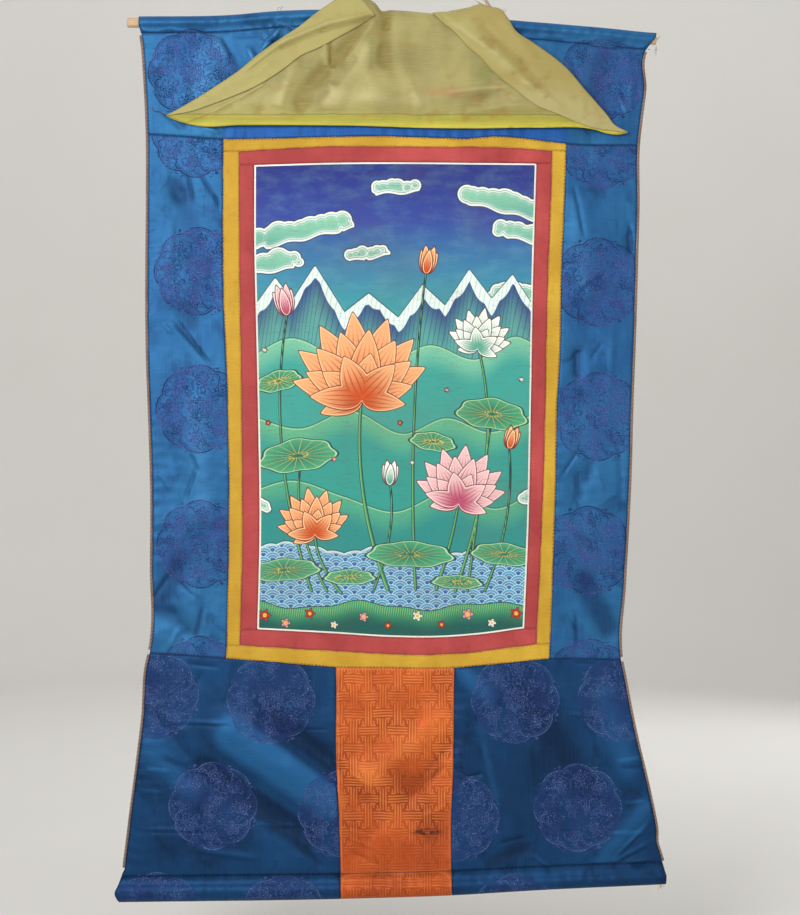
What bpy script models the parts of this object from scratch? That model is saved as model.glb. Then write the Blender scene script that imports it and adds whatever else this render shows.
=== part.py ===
"""A thangka: a painting sewn into a silk mount, hung from a rod, with its silk veil lifted.

Units are metres and +Z is up. The front faces -Y. The origin is the top of the hanging cord's
loop, from which the whole thing hangs.

Flat shapes are laid out in millimetres on the hanging plane, with two numbers for a place:
  across   to the right of the mount's centre line
  drop     downwards from the top of the hanging loop
A rail is a short table that gives an edge or a seam as one number against the other, and each
cloth piece is a grid stretched between four rails and then set on the mount's folds.
"""
import math

import bpy
import numpy as np

MM = 0.001
SIDEWAYS = np.array([1.0, 0.0, 0.0])
BACKWARDS = np.array([0.0, 1.0, 0.0])

# ---- Driving sizes, millimetres -------------------------------------------------------------
CLOTH = 1.2                 # thickness of a mount panel with its backing
SILK = 1.0                  # thickness of the veil
SEAM = 0.4                  # gap left between two pieces that are sewn together
FIT = 0.5                   # gap between a rod and its sleeve, and round a lashing
PIPING = 2.3                # diameter of the piping along both sides
LOOP_ACROSS = 35.0          # the hanging loop's top lies this far right of the centre line

TOP_ROD_RADIUS = 5.6
TOP_ROD_ENDS = (-314.6, 295.5)
TOP_STITCH = 11.5           # the sleeve's stitch line lies this far below the rod's centre
BOTTOM_ROD_ENDS = (-321.0, 303.5)
BOTTOM_STITCH = 17.0
TAIL = 7.0                  # the sleeve's back edge runs this far past its stitch line
SLEEVE_TURN = 125.0         # degrees of the turn round a rod, each way from its far side
SLEEVE_STEPS = 10
ROD_DEPTH = 0.9             # the rods' centres lie this far behind the panels' middle

CORD_RADIUS = 1.5
CORD_CLEAR = 1.3            # its slanting ends stop this far above the lashings
LOOP_BEND = 4.0             # half the width of the bend at the loop's top
LASHING_RADIUS = 1.5
LASHING_TURN = 108.0        # degrees from the top of the sleeve to each end of a lashing
LASHINGS = (("left", -50.8), ("right", 110.8))   # where the cord is tied round the top rod

# ---- Rods: (across, drop) of the centre line, and (across, radius) --------------------------
TOP_ROD_LINE = ((-315, 124.3), (-300, 124.2), (-196, 122.5), (-141, 117.8), (-90, 116.4),
                (-40, 117.6), (0, 119.6), (50, 123.0), (90, 126.0), (125, 129.0), (175, 133.2),
                (225, 137.7), (275, 142.7), (297, 144.2))
BOTTOM_ROD_LINE = ((-323, 1126.5), (-68, 1123.5), (60, 1120.0), (155, 1115.5), (307, 1109.5))
BOTTOM_ROD_TAPER = ((-323, 11.0), (-68, 10.2), (60, 9.6), (155, 8.4), (307, 7.2))

# ---- Rails that run down the mount: (drop, across) ------------------------------------------
LEFT_EDGE = ((110, -300.6), (129, -301.4), (154, -298.7), (196, -295.9), (238, -293.9),
             (336, -293.3), (413, -293.9), (509, -293.3), (560, -291.5), (675, -288.3),
             (751, -288.6), (846, -290.1), (866, -294.5), (923, -298.3), (980, -305.0),
             (1024, -310.8), (1092, -319.4), (1116, -323.0), (1126, -328.0), (1139, -323.5))
RIGHT_EDGE = ((120, 297.5), (142, 297.0), (153, 288.0), (203, 284.2), (238, 279.8),
              (260, 277.3), (336, 276.4), (413, 274.4), (489, 272.2), (560, 269.5),
              (655, 266.8), (713, 263.9), (770, 260.7), (858, 257.2), (882, 261.7),
              (931, 271.0), (968, 279.3), (997, 286.4), (1026, 292.7), (1057, 298.4),
              (1071, 298.8), (1081, 301.9), (1100, 306.6), (1118, 306.6))
OUTER_LEFT = ((259, -204.3), (444, -203.5), (560, -198.7), (655, -197.3), (732, -197.7),
              (858, -200.4))
OUTER_RIGHT = ((264, 192.1), (317, 190.3), (413, 186.5), (518, 184.2), (560, 181.4),
               (655, 179.8), (713, 177.8), (770, 175.9), (858, 172.5))
INNER_LEFT = ((272, -186.0), (400, -185.4), (560, -182.9), (751, -182.4), (843, -184.9))
INNER_RIGHT = ((271, 175.9), (336, 174.0), (413, 171.1), (489, 169.2), (560, 167.9),
               (655, 165.4), (841, 157.4))
PICTURE_LEFT = ((288, -168.7), (393, -168.5), (451, -167.1), (560, -164.6), (713, -162.7),
                (825, -165.3))
PICTURE_RIGHT = ((286, 158.1), (413, 154.4), (560, 151.8), (700, 149.0), (824, 143.8))
DOOR_LEFT = ((869, -73.9), (998, -72.7), (1035, -70.6), (1135, -68.1))
DOOR_RIGHT = ((869, 62.7), (998, 60.8), (1035, 59.1), (1131, 59.8))

# ---- Rails that run across the mount: (across, drop) ----------------------------------------
UPPER_SEAM = ((-301, 252.5), (-293, 252.7), (-204, 258.2), (-113, 257.0), (-29, 255.3),
              (46, 257.4), (75, 258.3), (113, 255.7), (175, 262.0), (192, 263.7), (290, 265.6))
LOWER_SEAM = ((-290, 851.6), (-200, 857.7), (-134, 862.9), (-73, 868.1), (-6, 868.9),
              (35, 869.5), (62, 868.5), (113, 864.3), (172, 858.5), (257, 859.1))
INNER_TOP = ((-186, 272.3), (-85, 267.3), (46, 267.8), (100, 267.7), (175, 271.8))
INNER_BOTTOM = ((-185, 842.8), (-81, 849.0), (35, 854.0), (67, 852.5), (157, 841.3))
PICTURE_TOP = ((-169, 287.9), (-70, 285.4), (158, 286.2))
PICTURE_BOTTOM = ((-165, 824.8), (-81, 829.2), (-6, 833.8), (51, 834.0), (87, 831.3),
                  (144, 823.5))

# ---- Main folds of the mount: a soft ridge along a line, forwards where rise is positive ----
FOLDS = (
    # across, drop   to across, drop   width  rise
    (-190, 946, -81, 1021, 24, 4.0),      # satin band across the lower left panel
    (-150, 925, -74, 985, 16, -2.6),      # trough above it
    (-225, 985, -110, 1062, 18, -2.4),    # trough below it
    (213, 770, 240, 822, 16, -3.0),       # hollow at the foot of the right side panel
    (203, 335, 212, 430, 18, 2.2),        # bulge in the right side panel
    (231, 1092, 284, 1030, 14, 2.6),      # pull towards the lower right corner
    (150, 900, 215, 1010, 26, -1.8),
    (5, 1000, 42, 1062, 18, -2.0),        # dip in the door panel
    (-236, 560, -228, 690, 20, 1.8),
    (-250, 320, -232, 400, 16, -1.8),
    (-252, 742, -278, 800, 16, -2.2),
    (-100, 330, -60, 780, 60, 2.0),       # slack of the painted canvas
    (95, 380, 70, 800, 50, -1.6),
    (-220, 150, -232, 235, 22, 2.2),      # top panel beside the veil
    (236, 165, 222, 240, 20, -1.8),
)

# ---- The veil's outlines: (across, drop) along each curve -----------------------------------
VEIL_TOP = ((-55.4, 86.6), (-36.2, 98.1), (-27.7, 103.9), (-22.4, 111.0), (-11.0, 111.0),
            (6.6, 112.0), (35.4, 114.6), (58.0, 115.2), (72.0, 114.4), (83.1, 108.7),
            (92.3, 105.0))
VEIL_LEFT_FOLD = ((-55.4, 86.6), (-68.8, 98.1), (-94.6, 116.3), (-113.7, 131.6),
                  (-132.7, 144.0), (-161.6, 164.1), (-188.1, 185.6), (-212.3, 201.4),
                  (-232.0, 213.9), (-260.8, 230.1), (-268.3, 233.7))
VEIL_RIGHT_FOLD = ((92.3, 105.0), (100.4, 109.5), (113.4, 112.1), (122.3, 122.3),
                   (131.8, 137.1), (153.8, 152.2), (172.3, 165.0), (192.5, 181.9),
                   (210.0, 202.6), (225.0, 219.3), (236.6, 232.6), (245.5, 244.2),
                   (261.4, 253.0))
VEIL_HEM = ((-268.3, 233.7), (-256.8, 238.9), (-246.1, 241.9), (-238.0, 243.8),
            (-180.0, 243.8), (-34.6, 244.9), (26.5, 247.0), (92.3, 247.5), (161.6, 246.8),
            (223.4, 249.0), (238.4, 253.4), (249.8, 254.7), (261.4, 253.0))
VEIL_LEFT_FLAP = ((-28.9, 118.6), (-46.7, 130.2), (-65.8, 141.1), (-94.6, 156.5),
                  (-113.7, 165.0), (-132.8, 179.5), (-161.6, 197.6), (-196.2, 212.7),
                  (-220.4, 221.6), (-236.6, 227.3), (-252.7, 230.8))
VEIL_RIGHT_FLAP = ((37.5, 115.1), (47.8, 125.9), (61.2, 137.2), (78.7, 155.8), (92.3, 167.3),
                   (106.1, 182.7), (130.4, 202.0), (161.6, 223.9), (179.2, 230.4),
                   (196.9, 238.0), (221.6, 247.7))
VEIL_LAYER = 2.4            # from the middle of the main layer to the middle of a flap
VEIL_BACK = -3.2            # depth of the top edge, which lies back over the rod
VEIL_FRONT = -12.2          # depth in front of the rod and its lashings
VEIL_RELAX = 4.0            # the hem hangs this much nearer to the mount
VEIL_LIP = 10.0             # height over which the top edge rounds back
VEIL_ROWS = 22
VEIL_CROWDING = 1.6         # rows stand closer together towards the rounded top edge
VEIL_COLUMNS = 20
VEIL_FLAP_COLUMNS = 5
VEIL_FOLDS = (
    (-37, 132, -118, 214, 13, -3.4),      # long valley below the left flap
    (-30, 136, -80, 215, 10, 2.0),        # ridge beside it
    (-17, 118, -22, 170, 12, -2.6),       # valley under the notch
    (75, 130, 120, 178, 12, 2.0),         # ridge along the right flap
    (78, 222, 96, 214, 8, -1.6),          # dart near the hem
    (-150, 210, 30, 214, 12, 1.2),
)


# ---- Curves and grids -----------------------------------------------------------------------
def rail(table, at):
    """Read a table of (place, value) rows with a cubic curve that runs through every row.

    Between two rows the value follows the cubic whose ends have the rows' values and the
    slopes of the table there. Past the ends it keeps the end's value.
    """
    places, values = np.array(table, float).T
    slopes = np.gradient(values, places)
    at = np.clip(at, places[0], places[-1])
    row = np.clip(np.searchsorted(places, at) - 1, 0, len(places) - 2)
    step = places[row + 1] - places[row]
    t = (at - places[row]) / step
    ends = (1 + 2 * t) * (1 - t) ** 2 * values[row] + t * t * (3 - 2 * t) * values[row + 1]
    bends = t * (1 - t) ** 2 * slopes[row] - t * t * (1 - t) * slopes[row + 1]
    return ends + bends * step


def along(table, fractions):
    """Points on a curve through the table's rows, at fractions of its length."""
    points = np.array(table, float)
    steps = np.hypot(*np.diff(points, axis=0).T)
    reached = np.concatenate([[0], np.cumsum(steps)]) / steps.sum()
    rows = [rail(np.column_stack([reached, column]), fractions) for column in points.T]
    return np.stack(rows, axis=-1)


def ease(value):
    """0 below 0, 1 above 1, and a smooth step between."""
    value = np.clip(value, 0, 1)
    return value * value * (3 - 2 * value)


def ridges(table, across, drop):
    """The sum of soft ridges along straight lines: rise times exp(-(distance / width)^2)."""
    total = np.zeros_like(across)
    for start_across, start_drop, end_across, end_drop, width, rise in table:
        line = np.array([end_across - start_across, end_drop - start_drop], float)
        reach = ((across - start_across) * line[0] + (drop - start_drop) * line[1])
        reach = np.clip(reach / (line @ line), 0, 1)
        apart = np.hypot(across - start_across - reach * line[0],
                         drop - start_drop - reach * line[1])
        total += rise * np.exp(-(apart / width) ** 2)
    return total


def down(table):
    """A rail down the mount, as a function of drop."""
    return lambda drop: rail(table, drop)


def over(table):
    """A rail across the mount, as a function of across."""
    return lambda across: rail(table, across)


def top_rod_drop(across):
    return rail(TOP_ROD_LINE, across)


def bottom_rod_drop(across):
    return rail(BOTTOM_ROD_LINE, across)


def mount_depth(across, drop):
    """Depth of the mount's middle surface: its folds, flat along both stitch lines."""
    below_top = ease((drop - top_rod_drop(across) - TOP_STITCH) / 25)
    above_bottom = ease((bottom_rod_drop(across) - BOTTOM_STITCH - drop) / 25)
    waves = 0.8 * np.sin(across / 71 + drop / 190) + 0.5 * np.sin(drop / 83 - across / 140)
    return -(ridges(FOLDS, across, drop) + waves) * below_top * above_bottom


def piping_inset(drop):
    """Room for the piping, which runs between the two stitch lines only."""
    return (PIPING + SEAM) * ease((drop - 130) / 8) * ease((1108 - drop) / 8)


def left_cloth_edge(drop):
    return rail(LEFT_EDGE, drop) + piping_inset(drop)


def right_cloth_edge(drop):
    return rail(RIGHT_EDGE, drop) - piping_inset(drop)


def stretch(left, right, top, bottom, columns, rows):
    """A grid of (across, drop) between two rails down and two rails across, half a seam in."""
    u, v = np.meshgrid(np.linspace(0, 1, columns + 1), np.linspace(0, 1, rows + 1))
    half = SEAM / 2
    drop = 560 + 0 * u
    for _ in range(12):
        start, end = left(drop) + half, right(drop) - half
        across = start + (end - start) * u
        start, end = top(across) + half, bottom(across) - half
        drop = start + (end - start) * v
    return across, drop


def place(across, depth, drop):
    """World points in metres from the layout's millimetres."""
    across, depth, drop = np.broadcast_arrays(across, depth, drop)
    return np.stack([across - LOOP_ACROSS, depth, -drop], axis=-1) * MM


# ---- Objects --------------------------------------------------------------------------------
def material(name, colour, roughness):
    made = bpy.data.materials.new(name)
    made.use_nodes = True
    shader = made.node_tree.nodes["Principled BSDF"]
    shader.inputs["Base Color"].default_value = (*colour, 1.0)
    shader.inputs["Roughness"].default_value = roughness
    shader.inputs["Metallic"].default_value = 0.0
    made.diffuse_color = (*colour, 1.0)
    return made


def add_object(name, points, faces, finish, smooth_angle=40):
    mesh = bpy.data.meshes.new(name)
    mesh.from_pydata([tuple(point) for point in points], [], faces)
    mesh.validate()
    mesh.shade_smooth()
    mesh.set_sharp_from_angle(angle=math.radians(smooth_angle))
    mesh.materials.append(finish)
    thing = bpy.data.objects.new(name, mesh)
    bpy.context.scene.collection.objects.link(thing)
    return thing


def grid_normals(points):
    """Unit normals of a grid of points, towards the back of a cloth whose rows run down."""
    down, sideways = np.gradient(points, axis=0), np.gradient(points, axis=1)
    normals = np.cross(sideways, down)
    return normals / np.linalg.norm(normals, axis=-1, keepdims=True)


def sheet(name, points, thickness, finish):
    """A closed solid of even thickness round a grid of middle points.

    The grid runs left to right in its columns and top to bottom in its rows, as seen from the
    front.
    """
    rows, columns, _ = points.shape
    offset = grid_normals(points) * thickness * MM / 2
    cloth = np.concatenate([(points - offset).reshape(-1, 3), (points + offset).reshape(-1, 3)])
    count = rows * columns
    index = np.arange(count).reshape(rows, columns)
    corners = np.stack([index[:-1, :-1], index[1:, :-1], index[1:, 1:], index[:-1, 1:]], -1)
    front = corners.reshape(-1, 4)
    back = front[:, ::-1] + count
    rim = np.concatenate([index[0, ::-1], index[1:, 0], index[-1, 1:], index[-2:0:-1, -1]])
    following = np.roll(rim, -1)
    edge = np.stack([following, rim, rim + count, following + count], -1)
    return add_object(name, cloth, np.concatenate([front, back, edge]).tolist(), finish)


def tube(name, centres, radii, sides, finish, square_to=None):
    """A round bar with flat ends along a row of centres, in metres.

    Each ring is square to the line there, or to one given direction.
    """
    centres = np.asarray(centres, float)
    ahead = np.gradient(centres, axis=0) if square_to is None else np.tile(square_to, (len(centres), 1))
    ahead = ahead / np.linalg.norm(ahead, axis=1, keepdims=True)
    first = np.cross(SIDEWAYS if abs(ahead[0, 0]) < 0.5 else BACKWARDS, ahead)
    first /= np.linalg.norm(first, axis=1, keepdims=True)
    second = np.cross(ahead, first)
    turn = np.linspace(0, 2 * math.pi, sides, endpoint=False)[:, None]
    ring = first[:, None] * np.cos(turn) + second[:, None] * np.sin(turn)
    points = centres[:, None] + ring * np.reshape(radii, (-1, 1, 1)) * MM
    index = np.arange(len(centres) * sides).reshape(len(centres), sides)
    beside = np.roll(index, -1, axis=1)
    wall = np.stack([index[:-1], beside[:-1], beside[1:], index[1:]], -1).reshape(-1, 4)
    faces = wall.tolist() + [index[0, ::-1].tolist(), index[-1].tolist()]
    return add_object(name, points.reshape(-1, 3), faces, finish)


# ---- Rods, lashings and cord ----------------------------------------------------------------
def rod(name, ends, line, taper, segments, finish):
    across = np.linspace(*ends, segments + 1)
    centres = place(across, ROD_DEPTH, line(across))
    return tube(name, centres, taper(across), 16, finish, square_to=SIDEWAYS)


def lashing(side, across, finish):
    """The cord's turn over the sleeve of the top rod; its ends go into the cloth."""
    reach = TOP_ROD_RADIUS + FIT + CLOTH + FIT + LASHING_RADIUS
    turn = np.radians(np.linspace(-LASHING_TURN, LASHING_TURN, 17))
    centres = place(across, ROD_DEPTH + reach * np.sin(turn),
                    top_rod_drop(across) - reach * np.cos(turn))
    return tube(f"cord_lashing_{side}", centres, LASHING_RADIUS, 8, finish)


def lashing_top(across):
    return top_rod_drop(across) - TOP_ROD_RADIUS - 2 * FIT - CLOTH - 2 * LASHING_RADIUS


def cord_route():
    """The cord's centre line, taut from one lashing over the loop's top to the other."""
    (_, left), (_, right) = LASHINGS
    half = []
    for foot, sign in ((right, 1), (left, -1)):
        foot_drop = lashing_top(foot) - CORD_CLEAR
        shoulder = (LOOP_ACROSS + sign * LOOP_BEND, LOOP_BEND)
        run = [(foot + (shoulder[0] - foot) * share, foot_drop + (shoulder[1] - foot_drop) * share)
               for share in (0, 0.3, 0.6, 0.85, 1)]
        half.append(run + [(LOOP_ACROSS + sign * LOOP_BEND * 0.45, LOOP_BEND * 0.25)])
    return half[0] + [(LOOP_ACROSS, 0.0)] + half[1][::-1]


def hanging_cord(finish):
    points = along(cord_route(), np.linspace(0, 1, 33))
    curve = bpy.data.curves.new("hanging_cord", "CURVE")
    curve.dimensions = "3D"
    curve.bevel_depth = CORD_RADIUS * MM
    curve.bevel_resolution = 2
    curve.use_fill_caps = True
    spline = curve.splines.new("POLY")
    spline.points.add(len(points) - 1)
    for knot, position in zip(spline.points, place(points[:, 0], ROD_DEPTH, points[:, 1])):
        knot.co = (*position, 1.0)
    curve.materials.append(finish)
    thing = bpy.data.objects.new("hanging_cord", curve)
    bpy.context.scene.collection.objects.link(thing)
    return thing


# ---- Mount ----------------------------------------------------------------------------------
def sleeve(stitched, left, right, rod_drop, radius, stitch, below):
    """Grid rows of a rod's sleeve: round the rod from the front, then the stitched back edge.

    stitched is the row of (across) at the stitch line. below is 1 where that line lies under
    the rod and -1 where it lies over it.
    """
    turn = np.radians(np.linspace(-SLEEVE_TURN, SLEEVE_TURN, SLEEVE_STEPS))[:, None]
    flat = np.ones_like(stitched)
    depth = np.concatenate([radius * np.sin(turn), flat * ROD_DEPTH, flat * ROD_DEPTH])
    away = np.concatenate([-radius * np.cos(turn), flat * stitch, flat * (stitch + TAIL)])
    drop = rod_drop(stitched) + below * away
    start, end = left(drop) + SEAM / 2, right(drop) - SEAM / 2
    share = np.linspace(0, 1, stitched.shape[1])[None, :]
    return place(start + (end - start) * share, depth + ROD_DEPTH, drop)


def top_panel(finish):
    """The heading: its back edge, the turn over the top rod, and the panel in front."""
    across, drop = stretch(left_cloth_edge, right_cloth_edge,
                           lambda x: top_rod_drop(x) + TOP_STITCH, over(UPPER_SEAM), 30, 9)
    panel = place(across, mount_depth(across, drop), drop)
    radius = TOP_ROD_RADIUS + FIT + CLOTH / 2 + 0 * across[:1]
    turned = sleeve(across[:1], left_cloth_edge, right_cloth_edge, top_rod_drop, radius,
                    TOP_STITCH, below=1)
    return sheet("top_panel", np.concatenate([turned[::-1], panel]), CLOTH, finish)


def lower_panel(name, left, right, columns, finish):
    """A panel that ends below in its bit of the bottom rod's sleeve."""
    across, drop = stretch(left, right, over(LOWER_SEAM),
                           lambda x: bottom_rod_drop(x) - BOTTOM_STITCH, columns, 20)
    panel = place(across, mount_depth(across, drop), drop)
    radius = rail(BOTTOM_ROD_TAPER, across[-1:]) + FIT + CLOTH / 2
    turned = sleeve(across[-1:], left, right, bottom_rod_drop, radius, BOTTOM_STITCH,
                    below=-1)
    return sheet(name, np.concatenate([panel, turned]), CLOTH, finish)


def flat_piece(name, left, right, top, bottom, columns, rows, finish):
    across, drop = stretch(left, right, top, bottom, columns, rows)
    return sheet(name, place(across, mount_depth(across, drop), drop), CLOTH, finish)


def border(name, left, right, top, bottom, inner_left, inner_right, inner_top, inner_bottom,
           finish):
    """Four strips round a window: top and bottom run the full width, the sides lie between."""
    flat_piece(f"{name}_top", left, right, top, inner_top, 22, 1, finish)
    flat_piece(f"{name}_bottom", left, right, inner_bottom, bottom, 22, 1, finish)
    flat_piece(f"{name}_left", left, inner_left, inner_top, inner_bottom, 1, 24, finish)
    flat_piece(f"{name}_right", inner_right, right, inner_top, inner_bottom, 1, 24, finish)


def piping(name, table, side, first, last, step, finish):
    """A thin round cord sewn along a cloth edge, from one drop to another."""
    drop = np.linspace(first, last, int((last - first) / step) + 2)
    across = rail(table, drop) - side * PIPING / 2
    centres = place(across, mount_depth(across, drop), drop)
    return tube(name, centres, PIPING / 2, 6, finish)


# ---- Veil -----------------------------------------------------------------------------------
def veil_depth(across, drop, layer):
    """Depth of the veil at a place; layer is 0 on the main cloth and 1 on a flap over it.

    From its top edge the cloth rounds forwards on a quarter ellipse, then hangs, nearer to the
    mount towards the hem. A flap follows the same form one layer further out.
    """
    out = VEIL_LAYER * layer
    edge = rail(VEIL_TOP, across)
    below = np.clip((drop - edge + out) / (VEIL_LIP + out), 0, 1)
    lip = VEIL_BACK - (VEIL_BACK - VEIL_FRONT + out) * np.sqrt(1 - (1 - below) ** 2)
    hang = VEIL_RELAX * ease((drop - 135) / 110)
    return lip + hang - ridges(VEIL_FOLDS, across, drop) * ease((drop - edge - 6) / 14)


def veil_patch(share_down, share_across):
    """The main layer's (across, drop) between its top edge, its hem and its two side folds."""
    s, t = share_down[:, None, None], share_across[None, :, None]
    top, hem = along(VEIL_TOP, share_across)[None], along(VEIL_HEM, share_across)[None]
    left = along(VEIL_LEFT_FOLD, share_down)[:, None]
    right = along(VEIL_RIGHT_FOLD, share_down)[:, None]
    ruled = (1 - s) * top + s * hem + (1 - t) * left + t * right
    corners = ((1 - s) * ((1 - t) * top[:, :1] + t * top[:, -1:])
               + s * ((1 - t) * hem[:, :1] + t * hem[:, -1:]))
    return ruled - corners


def veil_turn(fold, outwards, steps):
    """The half turn of the cloth at a side fold: (across, drop) and layer, flap side first."""
    angle = np.linspace(0, math.pi, steps + 2)[1:-1]
    bulge = outwards[:, None] * (VEIL_LAYER / 2 * np.sin(angle))[None, :, None]
    return fold[:, None] + bulge, (1 + np.cos(angle)) / 2


def veil_side(fold_table, flap_table, rows, sign):
    """A flap from its free edge to the side fold and round it: places and their layers."""
    fold, free = along(fold_table, rows), along(flap_table, rows)
    heading = np.gradient(fold, axis=0)
    outwards = np.stack([-heading[:, 1], heading[:, 0]], axis=-1) * sign
    outwards /= np.linalg.norm(outwards, axis=1, keepdims=True)
    share = np.linspace(0, 1, VEIL_FLAP_COLUMNS + 1)[None, :-1, None]
    flap = free[:, None] + (fold - free)[:, None] * share
    turned, turned_layer = veil_turn(fold, outwards, 3)
    layer = np.concatenate([np.ones(VEIL_FLAP_COLUMNS), turned_layer])
    return np.concatenate([flap, turned], axis=1), layer


def veil(finish):
    """One cloth: left flap, left fold, main layer, right fold, right flap."""
    rows = np.linspace(0, 1, VEIL_ROWS + 1) ** VEIL_CROWDING
    main = veil_patch(rows, np.linspace(0, 1, VEIL_COLUMNS + 1))
    left, left_layer = veil_side(VEIL_LEFT_FOLD, VEIL_LEFT_FLAP, rows, 1)
    right, right_layer = veil_side(VEIL_RIGHT_FOLD, VEIL_RIGHT_FLAP, rows, -1)
    flat = np.concatenate([left, main, right[:, ::-1]], axis=1)
    layer = np.concatenate([left_layer, np.zeros(VEIL_COLUMNS + 1), right_layer[::-1]])
    across, drop = flat[..., 0], flat[..., 1]
    depth = veil_depth(across, drop, layer[None])
    return sheet("veil", place(across, depth, drop), SILK, finish)


# ---- The thangka ----------------------------------------------------------------------------
def build():
    for old in list(bpy.data.objects):
        bpy.data.objects.remove(old, do_unlink=True)

    wood = material("pale_wood", (0.45, 0.31, 0.17), 0.6)
    cotton = material("pale_cotton_cord", (0.58, 0.48, 0.36), 0.8)
    blue = material("blue_brocade", (0.03, 0.13, 0.36), 0.45)
    dark_blue = material("dark_blue_brocade", (0.012, 0.05, 0.15), 0.5)
    orange = material("orange_brocade", (0.6, 0.12, 0.03), 0.5)
    yellow = material("yellow_silk", (0.6, 0.37, 0.06), 0.5)
    red = material("red_silk", (0.46, 0.08, 0.07), 0.5)
    canvas = material("painted_canvas", (0.1, 0.35, 0.36), 0.75)
    veil_silk = material("veil_silk", (0.45, 0.42, 0.15), 0.45)
    trim = material("piping", (0.4, 0.25, 0.17), 0.6)

    rod("top_rod", TOP_ROD_ENDS, top_rod_drop, lambda x: TOP_ROD_RADIUS + 0 * x, 26, wood)
    rod("bottom_rod", BOTTOM_ROD_ENDS, bottom_rod_drop, over(BOTTOM_ROD_TAPER), 12, wood)
    for side, across in LASHINGS:
        lashing(side, across, cotton)
    hanging_cord(cotton)

    top_panel(blue)
    flat_piece("side_panel_left", left_cloth_edge, down(OUTER_LEFT), over(UPPER_SEAM),
               over(LOWER_SEAM), 4, 26, blue)
    flat_piece("side_panel_right", down(OUTER_RIGHT), right_cloth_edge, over(UPPER_SEAM),
               over(LOWER_SEAM), 4, 26, blue)
    lower_panel("lower_panel_left", left_cloth_edge, down(DOOR_LEFT), 12, dark_blue)
    lower_panel("door_panel", down(DOOR_LEFT), down(DOOR_RIGHT), 7, orange)
    lower_panel("lower_panel_right", down(DOOR_RIGHT), right_cloth_edge, 12, dark_blue)

    border("outer_border", down(OUTER_LEFT), down(OUTER_RIGHT), over(UPPER_SEAM),
           over(LOWER_SEAM), down(INNER_LEFT), down(INNER_RIGHT), over(INNER_TOP),
           over(INNER_BOTTOM), yellow)
    border("inner_border", down(INNER_LEFT), down(INNER_RIGHT), over(INNER_TOP),
           over(INNER_BOTTOM), down(PICTURE_LEFT), down(PICTURE_RIGHT), over(PICTURE_TOP),
           over(PICTURE_BOTTOM), red)
    flat_piece("painting_canvas", down(PICTURE_LEFT), down(PICTURE_RIGHT), over(PICTURE_TOP),
               over(PICTURE_BOTTOM), 12, 18, canvas)

    piping("piping_upper_left", LEFT_EDGE, -1, 139, 848, 28, trim)
    piping("piping_lower_left", LEFT_EDGE, -1, 853, 1099, 8, trim)
    piping("piping_upper_right", RIGHT_EDGE, 1, 158, 856, 24, trim)
    piping("piping_lower_right", RIGHT_EDGE, 1, 861, 1091, 8, trim)

    veil(veil_silk)


build()
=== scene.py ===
# %% [markdown]
# # A thangka in its silk mount
#
# This lesson dresses the plain solids of a thangka, a painting on cloth that hangs in a mount
# of silk. A few tables give the edges and seams in millimetres, and every cloth is a surface
# worked out from them with numpy.

# %% Load the fixed frame
import math

import bpy
import numpy as np
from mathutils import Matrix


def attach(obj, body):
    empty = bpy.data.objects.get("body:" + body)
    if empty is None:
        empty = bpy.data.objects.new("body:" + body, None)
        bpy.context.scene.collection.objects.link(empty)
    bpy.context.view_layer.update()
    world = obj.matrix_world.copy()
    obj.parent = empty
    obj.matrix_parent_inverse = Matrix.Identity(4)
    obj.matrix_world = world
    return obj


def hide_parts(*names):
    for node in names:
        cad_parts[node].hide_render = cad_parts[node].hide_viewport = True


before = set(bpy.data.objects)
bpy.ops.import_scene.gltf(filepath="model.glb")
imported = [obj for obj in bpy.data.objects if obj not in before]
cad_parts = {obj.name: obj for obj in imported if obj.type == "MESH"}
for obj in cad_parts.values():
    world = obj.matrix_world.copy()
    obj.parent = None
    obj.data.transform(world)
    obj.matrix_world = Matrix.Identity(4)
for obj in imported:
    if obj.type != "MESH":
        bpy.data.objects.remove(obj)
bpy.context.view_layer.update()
print("nodes:", len(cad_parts))

# %% [markdown]
# ## Layout
#
# The thangka hangs flat, so a place on it needs two numbers in millimetres: `across`, to the
# right of the mount's centre line, and `drop`, down from the top of the hanging loop. The
# third number is the depth, which is negative towards the viewer. The frame's origin is the
# top of the loop, 35 mm right of the centre line.

# %% Places in the frame
MM = 0.001
LOOP_ACROSS = 35.0


def unit(vectors):
    """Vectors of length 1 in the same directions."""
    return vectors / np.linalg.norm(vectors, axis=-1, keepdims=True)


def step_lengths(points, axis=0):
    """How far each point lies from the one before it along an axis of the array."""
    return np.linalg.norm(np.diff(points, axis=axis), axis=-1)


def place(across, depth, drop):
    """World points in metres: x = across - 35 mm, y = depth, z = -drop."""
    across, depth, drop = np.broadcast_arrays(across, depth, drop)
    return np.stack([across - LOOP_ACROSS, depth, -drop], axis=-1) * MM


# %% [markdown]
# ## Camera
#
# The photograph looks straight at the thangka. One of its pixels covers 1.154 mm there, so a
# camera 2.4 m away needs the lens that shows 915 of them from top to bottom. The top of the
# loop is 85 pixels above the photograph, so the camera sees only the cord's lower end.

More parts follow.
